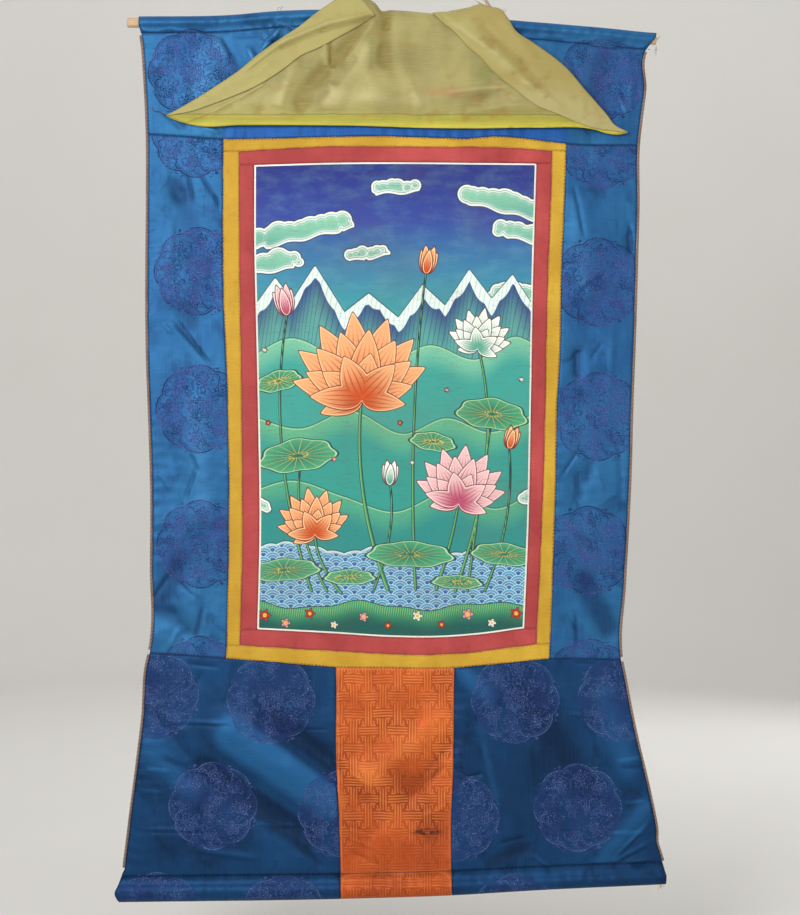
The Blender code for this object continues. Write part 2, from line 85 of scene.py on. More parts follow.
# %% Camera
PIXEL = 1.154
PHOTO_ROWS = 915
ROWS_ABOVE = 85
FRAME_HEIGHT = PHOTO_ROWS * PIXEL
VIEW_DROP = (PHOTO_ROWS / 2 + ROWS_ABOVE) * PIXEL
CAMERA_AWAY = 2400.0
camera_data = bpy.data.cameras.new("camera")
camera_data.sensor_fit = "VERTICAL"
camera_data.sensor_height = 24.0
camera_data.lens = camera_data.sensor_height * CAMERA_AWAY / FRAME_HEIGHT
camera = bpy.data.objects.new("camera", camera_data)
camera.location = place(0.0, -CAMERA_AWAY, VIEW_DROP).tolist()
camera.rotation_euler = (math.radians(90), 0, 0)
bpy.context.scene.collection.objects.link(camera)
bpy.context.scene.camera = camera
bpy.context.scene.view_settings.view_transform = "Standard"
print(f"lens {camera_data.lens:.1f} mm")

# %% [markdown]
# ## Meshes from arrays
#
# Every piece here is a set of points worked out as arrays. The faces of a grid or a ring also
# follow a rule, so they are arrays too. Blender takes such arrays in one go, which is far
# quicker than adding points one by one. A piece can carry maps, which give each point its
# place on the flat cloth, and marks, which give each point a number for its finish. Each
# piece then rides on the one body, and stands for one of the plain solids or a part of it.


# %% Points and faces to an object
def add_piece(name, points, faces, finish, maps=(), marks=()):
    """Make a smooth object from points in metres and arrays of three- or four-cornered faces."""
    corners = np.concatenate([face.ravel() for face in faces])
    sizes = np.concatenate([np.full(len(face), face.shape[1]) for face in faces])
    mesh = bpy.data.meshes.new(name)
    mesh.vertices.add(len(points))
    mesh.vertices.foreach_set("co", np.ravel(points))
    mesh.loops.add(len(corners))
    mesh.loops.foreach_set("vertex_index", corners)
    mesh.polygons.add(len(sizes))
    mesh.polygons.foreach_set("loop_start", np.cumsum(sizes) - sizes)
    mesh.polygons.foreach_set("use_smooth", np.ones(len(sizes), bool))
    mesh.update(calc_edges=True)
    for title, places in dict(maps).items():
        mesh.uv_layers.new(name=title).data.foreach_set("uv", places[corners].ravel())
    for title, values in dict(marks).items():
        plain = values.ndim == 1
        layer = mesh.attributes.new(title, "FLOAT" if plain else "FLOAT_VECTOR", "POINT")
        layer.data.foreach_set("value" if plain else "vector", np.ravel(values))
    mesh.materials.append(finish)
    piece = bpy.data.objects.new(name, mesh)
    bpy.context.scene.collection.objects.link(piece)
    return piece


def dress(piece, slot, *nodes):
    """Ride on the one body and stand for nodes of the plain solids; the slot is not used."""
    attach(piece, "root")
    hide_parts(*nodes)


def grid_faces(rows, columns, start=0):
    """The quads of a grid of rows x columns points that are counted row by row."""
    index = start + np.arange(rows * columns).reshape(rows, columns)
    corners = [index[:-1, :-1], index[1:, :-1], index[1:, 1:], index[:-1, 1:]]
    return np.stack(corners, axis=-1).reshape(-1, 4)


# %% [markdown]
# ## Shader sums as plain Python
#
# A woven pattern is a sum over the place on the cloth. In Blender each step of that sum is a
# Math node, and a hundred of them by hand are hard to read. The small class below stands for
# one number in the node tree, and its operators add the nodes, so the sum reads like
# ordinary Python. Colours go through Mix nodes, because a Math node would turn them grey.
# Most finishes are a ground with coats over it, each a colour and the share it covers.


# %% One class for a number, one for a finish
class Wire:
    """A number that a node gives. The usual operators on it add Math nodes."""

    def __init__(self, finish, socket):
        """Keep the finish the node belongs to, and the output that gives the number."""
        self.finish = finish
        self.socket = socket

    def other(self, output):
        """Another output of the same node."""
        return Wire(self.finish, self.socket.node.outputs[output])

    def step(self, low, high):
        """0 below low, 1 above high, and a smooth rise between. High below low turns it round."""
        settings = {"interpolation_type": "SMOOTHSTEP"}
        return self.finish.node("MapRange", settings, {0: self, 1: low, 2: high})

    def band(self, centre, half):
        """1 where the number is within half of centre, with soft sides."""
        return abs(self - centre).step(half * 1.35, half * 0.65)

    def fraction(self):
        """What is left of the number after its whole part."""
        return self.finish.math("FRACT", self)

    def __abs__(self):
        return self.finish.math("ABSOLUTE", self)


def two_numbers(operation, turned=False):
    """An operator as one Math node; turned takes the two numbers the other way round."""
    if turned:
        return lambda wire, other: wire.finish.math(operation, other, wire)
    return lambda wire, other: wire.finish.math(operation, wire, other)


for sign, operation in (("add", "ADD"), ("sub", "SUBTRACT"), ("mul", "MULTIPLY"),
                        ("truediv", "DIVIDE"), ("lt", "LESS_THAN"), ("gt", "GREATER_THAN")):
    setattr(Wire, f"__{sign}__", two_numbers(operation))
    if operation not in ("LESS_THAN", "GREATER_THAN"):
        setattr(Wire, f"__r{sign}__", two_numbers(operation, turned=True))


def colour(code):
    """The linear colour of a hex code."""
    shares = [int(code[at:at + 2], 16) / 255 for at in (1, 3, 5)]
    curve = [((part + 0.055) / 1.055) ** 2.4 if part > 0.04045 else part / 12.92
             for part in shares]
    return (*curve, 1.0)


class Finish:
    """A material in the making. node() adds any node, and the rest are common uses of it."""

    def __init__(self, name, **fixed):
        """Start a material, with fixed values for sockets of its shader."""
        self.material = bpy.data.materials.new(name)
        self.material.use_nodes = True
        self.tree = self.material.node_tree
        self.shader = self.tree.nodes["Principled BSDF"]
        for socket, value in fixed.items():
            self.shader.inputs[socket.replace("_", " ")].default_value = value

    def node(self, kind, settings=(), values=(), out=0):
        """Add a node, set its settings, then the values or links of its sockets."""
        made = self.tree.nodes.new("ShaderNode" + kind)
        for key, value in dict(settings).items():
            if key == "stops":
                self.set_stops(made.color_ramp, value)
            else:
                setattr(made, key, value)
        for key, value in dict(values).items():
            self.feed(made.inputs[key], value)
        return Wire(self, made.outputs[out])

    def set_stops(self, ramp, stops):
        """Give a ramp its stops, each a position and a colour."""
        while len(ramp.elements) < len(stops):
            ramp.elements.new(1.0)
        for element, (position, shade) in zip(ramp.elements, stops):
            element.position = position
            element.color = colour(shade)

    def feed(self, socket, value):
        """Link a Wire to a socket, or set the socket to a number or a colour code."""
        if isinstance(value, Wire):
            self.tree.links.new(value.socket, socket)
        else:
            socket.default_value = colour(value) if isinstance(value, str) else value

    def math(self, operation, *values):
        return self.node("Math", {"operation": operation}, dict(enumerate(values)))

    def most(self, first, *others):
        for value in others:
            first = self.math("MAXIMUM", first, value)
        return first

    def length(self, x, y):
        return self.math("SQRT", x * x + y * y)

    def mix(self, share, first, second):
        """A colour between two colours."""
        return self.node("Mix", {"data_type": "RGBA"}, {0: share, 6: first, 7: second}, out=2)

    def coats(self, tone, layers):
        """Lay colours over a tone one after another, each with its own share."""
        for share, shade in layers:
            tone = self.mix(share, tone, shade)
        return tone

    def map(self, title):
        """The two numbers of a map."""
        spot = self.node("UVMap", {"uv_map": title})
        x = self.node("SeparateXYZ", values={0: spot})
        return x, x.other("Y")

    def mark(self, title, out="Fac"):
        return self.node("Attribute", {"attribute_name": title}, out=out)

    def object_place(self):
        """The place on the object in millimetres, as three numbers."""
        spot = self.node("TexCoord", out="Object")
        x = self.node("SeparateXYZ", values={0: spot})
        return x * 1000, x.other("Y") * 1000, x.other("Z") * 1000

    def spot(self, x, y, z=0.0):
        return self.node("CombineXYZ", values={0: x, 1: y, 2: z})

    def noise(self, x, y, z=0.0, detail=2.0, rough=0.5, curl=0.0):
        """Cloudy noise round 0.5 whose grains are about one unit of x, y and z wide."""
        values = {"Vector": self.spot(x, y, z), "Scale": 1.0, "Detail": detail,
                  "Roughness": rough, "Distortion": curl}
        return self.node("TexNoise", values=values)

    def bump(self, height):
        """Tilt the shader's normal by a height in millimetres."""
        normal = self.node("Bump", values={"Height": height, "Distance": MM, "Strength": 1.0})
        self.feed(self.shader.inputs["Normal"], normal)

    def show(self, **wires):
        """Feed sockets of the shader, and give the material back."""
        for socket, value in wires.items():
            self.feed(self.shader.inputs[socket.replace("_", " ")], value)
        return self.material


# %% [markdown]
# ## Stage and lights
#
# A round pale floor curves up into a pale wall on all sides, so there is no hard line behind
# the cloth, and the wall is further off than the camera, so a look from the back meets no
# wall either. Satin shines where it turns the light towards the eye. So the main light
# stands to the upper left and close to the camera's own line, as in the photograph: the left
# side shines, and the right side and the lower panels fall into shade. A light behind the
# mount keeps the wall pale. The camera doesn't see the lamps themselves, only their light.

# %% Floor and wall as one turned surface
FLOOR_DROP = 1230.0
COVE = 900.0
MIDDLE = 0.05
STAGE_SPOKES = 97
WALL_RADIUS = 4200.0
WALL_TOP = -2600.0


def stage_profile():
    """(radius, drop) from the floor's centre outwards, round the cove and up the wall."""
    turn = np.linspace(0, math.pi / 2, 24)
    bend = np.stack([WALL_RADIUS - COVE + COVE * np.sin(turn),
                     FLOOR_DROP - COVE * (1 - np.cos(turn))], axis=-1)
    return np.concatenate([[[MIDDLE, FLOOR_DROP]], bend, [[WALL_RADIUS, WALL_TOP]]])


def pale_paper():
    """Matt backdrop paper with a faint, broad unevenness."""
    finish = Finish("pale_paper", Roughness=0.9)
    x, y, z = finish.object_place()
    cloudy = finish.noise(x / 400, y / 400, z / 400)
    tone = finish.mix(cloudy, "#E6E4DF", "#EBE9E5")
    return finish.show(Base_Color=tone)


profile = stage_profile()
angle = np.linspace(0, 2 * math.pi, STAGE_SPOKES)[:, None]
stage_points = place(profile[:, 0] * np.cos(angle), profile[:, 0] * np.sin(angle), profile[:, 1])
floor = add_piece("pale_stage", stage_points.reshape(-1, 3),
                  [grid_faces(STAGE_SPOKES, len(profile))], pale_paper())
print("stage points:", len(stage_points))


# %% Soft lights
def light_turn(toward):
    """The turns that point a light's own -Z along a vector: tilt, then heading."""
    x, y, z = unit(toward)
    return (math.acos(-z), 0.0, math.atan2(-x, y))


def soft_light(name, across, depth, drop, size, watts, aim_depth, aim_drop):
    """A square area light that faces a point at aim_depth and aim_drop."""
    data = bpy.data.lights.new(name, "AREA")
    data.size = size
    data.energy = watts
    lamp = bpy.data.objects.new(name, data)
    here, there = place(across, depth, drop), place(0.0, aim_depth, aim_drop)
    lamp.location = here.tolist()
    lamp.rotation_euler = light_turn(there - here)
    lamp.visible_camera = False
    bpy.context.scene.collection.objects.link(lamp)


LIGHTS = (
    # name, across, depth, drop, size, watts, aim_depth, aim_drop
    ("key", -760, -2000, 60, 0.8, 34, 0, 380),
    ("fill", 1500, -1900, 500, 1.4, 8, 0, 600),
    ("top", 100, -900, -900, 1.2, 4, 0, 500),
    ("back", 1500, 2200, 0, 1.2, 12, 0, 500),
    ("floor_behind", 0, 250, -1250, 2.2, 15, 600, 1400),
    ("wall_behind", 0, 1700, -1900, 2.4, 40, 4200, 500),
)
for row in LIGHTS:
    soft_light(*row)
world = bpy.data.worlds.new("pale_world")
bpy.context.scene.world = world
world.use_nodes = True
world.node_tree.nodes["Background"].inputs["Color"].default_value = (0.95, 0.96, 1.0, 1.0)
world.node_tree.nodes["Background"].inputs["Strength"].default_value = 0.12
print("lights:", len(LIGHTS))

# %% [markdown]
# ## Curves from short tables
#
# Each seam and edge of the mount bends a little, because old silk stretches where it is
# sewn. A row in a table is a place where the seam was measured, and a smooth cubic runs
# through the rows. The same reading serves an edge that runs down, a seam that runs across
# and the outline of the veil.


# %% Rails, outlines and ridges
def rail(table, at):
    """Read (place, value) rows with a cubic curve that runs through every row.

    Between two rows the value follows the cubic whose ends have the rows' values and the
    slopes of the table there. Past the ends it keeps the end's value.
    """
    places, values = np.array(table, float).T
    slopes = np.gradient(values, places)
    at = np.clip(at, places[0], places[-1])
    row = np.clip(np.searchsorted(places, at) - 1, 0, len(places) - 2)
    step = places[row + 1] - places[row]
    t = (at - places[row]) / step
    ends = (1 + 2 * t) * (1 - t) ** 2 * values[row] + t * t * (3 - 2 * t) * values[row + 1]
    bends = t * (1 - t) ** 2 * slopes[row] - t * t * (1 - t) * slopes[row + 1]
    return ends + bends * step


def along(table, fractions):
    """Points on a curve through the table's rows, at fractions of its length."""
    points = np.array(table, float)
    steps = np.hypot(*np.diff(points, axis=0).T)
    reached = np.concatenate([[0], np.cumsum(steps)]) / steps.sum()
    rows = [rail(np.column_stack([reached, column]), fractions) for column in points.T]
    return np.stack(rows, axis=-1)


def bow(start, bend, end, t):
    """(1-t)^2 start + 2t(1-t) bend + t^2 end, which leaves start towards bend."""
    return (1 - t) ** 2 * start + 2 * t * (1 - t) * bend + t * t * end


def ease(value):
    """0 below 0, 1 above 1, and a smooth step between."""
    value = np.clip(value, 0, 1)
    return value * value * (3 - 2 * value)


def ridges(table, across, drop, taper=0.0):
    """The sum of soft ridges along straight lines: rise times exp(-(distance / width)^2).

    With a taper of 0.3, a ridge dies away over the last 0.3 of its length at each end.
    """
    total = np.zeros_like(across)
    for start_across, start_drop, end_across, end_drop, width, rise in table:
        line = np.array([end_across - start_across, end_drop - start_drop], float)
        reach = (across - start_across) * line[0] + (drop - start_drop) * line[1]
        way = reach / (line @ line)
        reach = np.clip(way, 0, 1)
        apart = np.hypot(across - start_across - reach * line[0],
                         drop - start_drop - reach * line[1])
        fade = ease(way / taper) * ease((1 - way) / taper) if taper else 1.0
        total += rise * fade * np.exp(-(apart / width) ** 2)
    return total


def follow(table):
    """A table's rail as a function of the place along it."""
    return lambda at: rail(table, at)


print("a rail through (0, 0), (10, 4), (20, 0) at 5:",
      rail(((0, 0), (10, 4), (20, 0)), np.array([5.0])))

# %% [markdown]
# ## Rods
#
# Two plain wooden sticks stretch the mount, one through the sleeve at its head and one
# through the sleeve at its foot. Only their ends show. A stick is a round profile carried
# along its slightly bent line, with a small chamfer at each end.

# %% Rod sizes
CLOTH = 1.2
SILK = 1.0
FIT = 0.5
CHAMFER = 0.8
ROD_SIDES = 28
ROD_DEPTH = 0.9
TOP_ROD_RADIUS = 5.6
TOP_ROD_ENDS = (-314.6, 295.5)
BOTTOM_ROD_ENDS = (-321.0, 303.5)
TOP_ROD_LINE = ((-315, 124.3), (-300, 124.2), (-196, 122.5), (-141, 117.8), (-90, 116.4),
                (-40, 117.6), (0, 119.6), (50, 123.0), (90, 126.0), (125, 129.0), (175, 133.2),
                (225, 137.7), (275, 142.7), (297, 144.2))
BOTTOM_ROD_LINE = ((-323, 1126.5), (-68, 1123.5), (60, 1120.0), (155, 1115.5), (307, 1109.5))
BOTTOM_ROD_TAPER = ((-323, 11.0), (-68, 10.2), (60, 9.6), (155, 8.4), (307, 7.2))


def top_rod_drop(across):
    return rail(TOP_ROD_LINE, across)


def bottom_rod_drop(across):
    return rail(BOTTOM_ROD_LINE, across)


def pale_wood():
    """Old planed softwood: long grain, darker pores, and patches of grime."""
    finish = Finish("pale_wood", Specular_IOR_Level=0.35)
    x, y, z = finish.object_place()
    grain = finish.noise(x / 70, y / 0.9, z / 0.9, detail=4, curl=0.4)
    pores = finish.noise(x / 14, y / 0.35, z / 0.35).step(0.62, 0.74)
    grime = finish.noise(x / 18, y / 8, z / 8, 3)
    wood = finish.mix(grain, "#A98462", "#DDC09C")
    wood = finish.coats(wood, (
        (pores * 0.5, "#7A5A3E"),
        (grime.step(0.5, 0.75) * 0.45, "#8A6B4E")))
    finish.bump(grain * 0.12 - pores * 0.1)
    return finish.show(Base_Color=wood, Roughness=0.5 + grime * 0.3)


def rod(name, ends, line, radius, finish):
    """Rings of points square to the across direction, with a small chamfer at each end."""
    start, end = ends
    across = np.concatenate([[start, start, start + CHAMFER],
                             np.linspace(start + 3, end - 3, 90), [end - CHAMFER, end, end]])
    shrink = np.ones(len(across))
    shrink[[0, -1]] = 0.0
    shrink[[1, -2]] = 0.84
    turn = np.linspace(0, 2 * math.pi, ROD_SIDES, endpoint=False)
    size = (radius(across) * shrink)[:, None]
    points = place(across[:, None], ROD_DEPTH + size * np.sin(turn),
                   line(across)[:, None] + size * np.cos(turn))
    return close_tube(name, points, finish)


def tube_parts(rings, start=0):
    """A closed tube's points, and its wall and cap faces counted from start."""
    count, sides = rings.shape[:2]
    index = start + np.arange(count * sides).reshape(count, sides)
    beside = np.roll(index, -1, axis=1)
    wall = np.stack([index[:-1], beside[:-1], beside[1:], index[1:]], -1).reshape(-1, 4)
    middle = start + count * sides
    caps = [np.stack([beside[0], index[0], np.full(sides, middle)], -1),
            np.stack([index[-1], beside[-1], np.full(sides, middle + 1)], -1)]
    ends = np.stack([rings[0].mean(axis=0), rings[-1].mean(axis=0)])
    return np.concatenate([rings.reshape(-1, 3), ends]), wall, np.concatenate(caps)


def close_tube(name, rings, finish, maps=(), marks=()):
    """Join rings of points into a wall and close both ends, where a ring may be one point."""
    points, wall, caps = tube_parts(rings)
    maps = {title: np.concatenate([flat.reshape(-1, 2), flat[[0, -1]].mean(axis=1)])
            for title, flat in dict(maps).items()}
    return add_piece(name, points, [wall, caps], finish, maps, marks)


# %% Make both rods
wood = pale_wood()
ROD_ROWS = (
    ("top", TOP_ROD_ENDS, top_rod_drop, lambda x: TOP_ROD_RADIUS + 0 * x),
    ("bottom", BOTTOM_ROD_ENDS, bottom_rod_drop, follow(BOTTOM_ROD_TAPER)),
)
for side, ends, line, radius in ROD_ROWS:
    stick = rod(f"{side}_rod_turned", ends, line, radius, wood)
    dress(stick, "pale_wood", f"{side}_rod")
    print(side, "rod", round(ends[1] - ends[0]), "mm")

# %% [markdown]
# ## Cord and lashings
#
# One soft cotton cord carries the thangka. It is tied round the sleeve of the top rod at two
# places and runs up to the wall hook between them. Twisted cord has strands that lie on a
# helix, so its outline is scalloped: a round profile whose radius follows the strands as it
# is carried along the route.

# %% The cord's route
CORD_RADIUS = 1.5
CORD_CLEAR = 1.3
LOOP_BEND = 4.0
LASHING_RADIUS = 1.5
LASHING_TURN = 108.0
LASHINGS = (("left", -50.8), ("right", 110.8))


def lashing_top(across):
    return top_rod_drop(across) - TOP_ROD_RADIUS - 2 * FIT - CLOTH - 2 * LASHING_RADIUS


def cord_route():
    """The cord's centre line, taut from one lashing over the loop's top to the other."""
    (_, left), (_, right) = LASHINGS
    half = []
    for foot, sign in ((right, 1), (left, -1)):
        foot_drop = lashing_top(foot) - CORD_CLEAR
        shoulder = (LOOP_ACROSS + sign * LOOP_BEND, LOOP_BEND)
        run = [(foot + (shoulder[0] - foot) * share, foot_drop + (shoulder[1] - foot_drop) * share)
               for share in (0, 0.3, 0.6, 0.85, 1)]
        half.append(run + [(LOOP_ACROSS + sign * LOOP_BEND * 0.45, LOOP_BEND * 0.25)])
    return half[0] + [(LOOP_ACROSS, 0.0)] + half[1][::-1]


def twisted(name, centres, square, radius, finish, strands=3, pitch=9.0, sides=18):
    """A twisted cord along centres in metres.

    square is one direction square to the whole route. Round a ring the radius is
    radius * (0.8 + 0.2 * |cos(strands / 2 * (turn - 2 pi * way / pitch))|), so each strand
    stands proud and moves round as the way grows.
    """
    way = np.concatenate([[0], np.cumsum(step_lengths(centres) / MM)])[:, None]
    ahead = unit(np.gradient(centres, axis=0))
    first = np.broadcast_to(np.array(square, float), ahead.shape)
    second = np.cross(ahead, first)
    turn = np.linspace(0, 2 * math.pi, sides, endpoint=False)[None, :]
    lobe = np.abs(np.cos(strands / 2 * (turn - 2 * math.pi * way / pitch)))
    size = radius * (0.8 + 0.2 * lobe)[..., None] * MM
    around = first[:, None] * np.cos(turn)[..., None] + second[:, None] * np.sin(turn)[..., None]
    flat = np.stack(np.broadcast_arrays(turn * radius, way), axis=-1)
    return close_tube(name, centres[:, None] + around * size, finish, {"cloth": flat})


def cotton():
    """Soft twisted cotton: pale fibres with patches of grey dirt."""
    finish = Finish("pale_cotton_cord", Specular_IOR_Level=0.2)
    finish.shader.inputs["Sheen Weight"].default_value = 0.4
    x, y, z = finish.object_place()
    fibre = finish.noise(x / 0.6, y / 0.6, z / 0.6, detail=4)
    dirt = finish.noise(x / 9, y / 9, z / 9, detail=3)
    tone = finish.mix(fibre, "#9C8168", "#E2CDB4")
    tone = finish.mix(dirt.step(0.5, 0.75) * 0.4, tone, "#8C7460")
    finish.bump(fibre * 0.25)
    return finish.show(Base_Color=tone, Roughness=0.8 + fibre * 0.15)


# %% Make the cord and its lashings
cotton_cord = cotton()
route = along(cord_route(), np.linspace(0, 1, 33))
fine_route = along(route, np.linspace(0, 1, 420))
cord_centres = place(fine_route[:, 0], ROD_DEPTH, fine_route[:, 1])
cord = twisted("cord_twisted", cord_centres, (0, 1, 0), CORD_RADIUS, cotton_cord)
dress(cord, "pale_cotton_cord", "hanging_cord")
[tuple(point) for point in place(route[:, 0], ROD_DEPTH, route[:, 1])]


def lashing_line(across, half_turn, reach, count):
    """An arc over the sleeve, from one side of its top to the other."""
    turn = np.radians(np.linspace(-half_turn, half_turn, count))
    return place(across, ROD_DEPTH + reach * np.sin(turn),
                 top_rod_drop(across) - reach * np.cos(turn))


LASHING_REACH = TOP_ROD_RADIUS + FIT + CLOTH + FIT + LASHING_RADIUS
for side, across in LASHINGS:
    wrap = twisted(f"cord_wrap_{side}", lashing_line(across, LASHING_TURN, LASHING_REACH, 60),
                   (1, 0, 0), LASHING_RADIUS, cotton_cord)
    dress(wrap, "pale_cotton_cord", f"cord_lashing_{side}")

# %% [markdown]
# ## The mount's seams and folds
#
# The mount is pieced from silk: a heading, two side panels, two lower panels with an orange
# one between them, and a yellow and a red border round the painting. The tables give the
# seams, and one depth function sets every piece on the same folds, so neighbours meet along
# a seam without a step.

# %% Rails that run down the mount: (drop, across)
LEFT_EDGE = ((110, -300.6), (129, -301.4), (154, -298.7), (196, -295.9), (238, -293.9),
             (336, -293.3), (413, -293.9), (509, -293.3), (560, -291.5), (675, -288.3),
             (751, -288.6), (846, -290.1), (866, -294.5), (923, -298.3), (980, -305.0),
             (1024, -310.8), (1092, -319.4), (1116, -323.0), (1126, -328.0), (1139, -323.5))
RIGHT_EDGE = ((120, 297.5), (142, 297.0), (153, 288.0), (203, 284.2), (238, 279.8),
              (260, 277.3), (336, 276.4), (413, 274.4), (489, 272.2), (560, 269.5),
              (655, 266.8), (713, 263.9), (770, 260.7), (858, 257.2), (882, 261.7),
              (931, 271.0), (968, 279.3), (997, 286.4), (1026, 292.7), (1057, 298.4),
              (1071, 298.8), (1081, 301.9), (1100, 306.6), (1118, 306.6))
OUTER_LEFT = ((259, -204.3), (444, -203.5), (560, -198.7), (655, -197.3), (732, -197.7),
              (858, -200.4))
OUTER_RIGHT = ((264, 192.1), (317, 190.3), (413, 186.5), (518, 184.2), (560, 181.4),
               (655, 179.8), (713, 177.8), (770, 175.9), (858, 172.5))
INNER_LEFT = ((272, -186.0), (400, -185.4), (560, -182.9), (751, -182.4), (843, -184.9))
INNER_RIGHT = ((271, 175.9), (336, 174.0), (413, 171.1), (489, 169.2), (560, 167.9),
               (655, 165.4), (841, 157.4))
PICTURE_LEFT = ((288, -168.7), (393, -168.5), (451, -167.1), (560, -164.6), (713, -162.7),
                (825, -165.3))
PICTURE_RIGHT = ((286, 158.1), (413, 154.4), (560, 151.8), (700, 149.0), (824, 143.8))
DOOR_LEFT = ((869, -73.9), (998, -72.7), (1035, -70.6), (1135, -68.1))
DOOR_RIGHT = ((869, 62.7), (998, 60.8), (1035, 59.1), (1131, 59.8))

# %% Rails that run across the mount: (across, drop)
UPPER_SEAM = ((-301, 252.5), (-293, 252.7), (-204, 258.2), (-113, 257.0), (-29, 255.3),
              (46, 257.4), (75, 258.3), (113, 255.7), (175, 262.0), (192, 263.7), (290, 265.6))
LOWER_SEAM = ((-290, 851.6), (-200, 857.7), (-134, 862.9), (-73, 868.1), (-6, 868.9),
              (35, 869.5), (62, 868.5), (113, 864.3), (172, 858.5), (257, 859.1))
INNER_TOP = ((-186, 272.3), (-85, 267.3), (46, 267.8), (100, 267.7), (175, 271.8))
INNER_BOTTOM = ((-185, 842.8), (-81, 849.0), (35, 854.0), (67, 852.5), (157, 841.3))
PICTURE_TOP = ((-169, 287.9), (-70, 285.4), (158, 286.2))
PICTURE_BOTTOM = ((-165, 824.8), (-81, 829.2), (-6, 833.8), (51, 834.0), (87, 831.3),
                  (144, 823.5))

# %% Folds and creases: from (across, drop) to (across, drop), width, rise towards the viewer
FOLDS = (
    (-190, 946, -81, 1021, 24, 5.5),      # satin band across the lower left panel
    (-150, 925, -74, 985, 16, -4.2),      # trough above it
    (-225, 985, -110, 1062, 18, -4.2),    # trough below it
    (-290, 960, -240, 1010, 22, 2.4),
    (213, 770, 240, 822, 16, -3.0),       # hollow at the foot of the right side panel
    (203, 335, 212, 430, 18, 2.2),        # bulge in the right side panel
    (231, 1092, 284, 1030, 14, 2.8),      # pull towards the lower right corner
    (150, 900, 215, 1010, 26, -2.6),
    (236, 900, 262, 985, 20, 2.4),
    (5, 1000, 42, 1062, 18, -3.0),        # dips and ridges in the door panel
    (-58, 1010, -22, 1040, 14, -2.0),
    (62, 952, 8, 1024, 9, -2.6), (52, 930, -34, 992, 15, 2.4),
    (-64, 980, -14, 1004, 9, 1.6), (-62, 1004, -24, 1030, 7, -1.8),
    (66, 868, 102, 902, 15, 3.0),         # lit beside the door
    (104, 1094, 142, 1078, 11, -2.4),
    (-236, 560, -228, 690, 20, 2.2),
    (-250, 320, -232, 400, 16, -1.8),
    (-252, 742, -278, 800, 16, -2.6),
    (-100, 330, -60, 780, 60, 2.0),       # slack of the painted canvas
    (95, 380, 70, 800, 50, -1.6),
    (-220, 150, -232, 235, 22, 2.6),      # heading beside the veil
    (236, 165, 222, 240, 20, -2.2),
    (-262, 310, -256, 324, 9, -1.8),      # soft hollows in the side panels
    (-250, 456, -240, 474, 10, -2.2),
    (-289, 478, -286, 494, 8, -1.6),
    (-262, 806, -246, 826, 9, -2.0),
    (204, 506, 205, 528, 8, -2.2),
    (205, 648, 206, 668, 8, -2.2),
    (218, 636, 217, 650, 7, -1.8),
    (262, 372, 266, 392, 8, -1.8),
    (-299, 555, -297, 700, 7, -3.0),      # selvedges that turn back
    (304, 1012, 310, 1100, 8, -3.6),
)
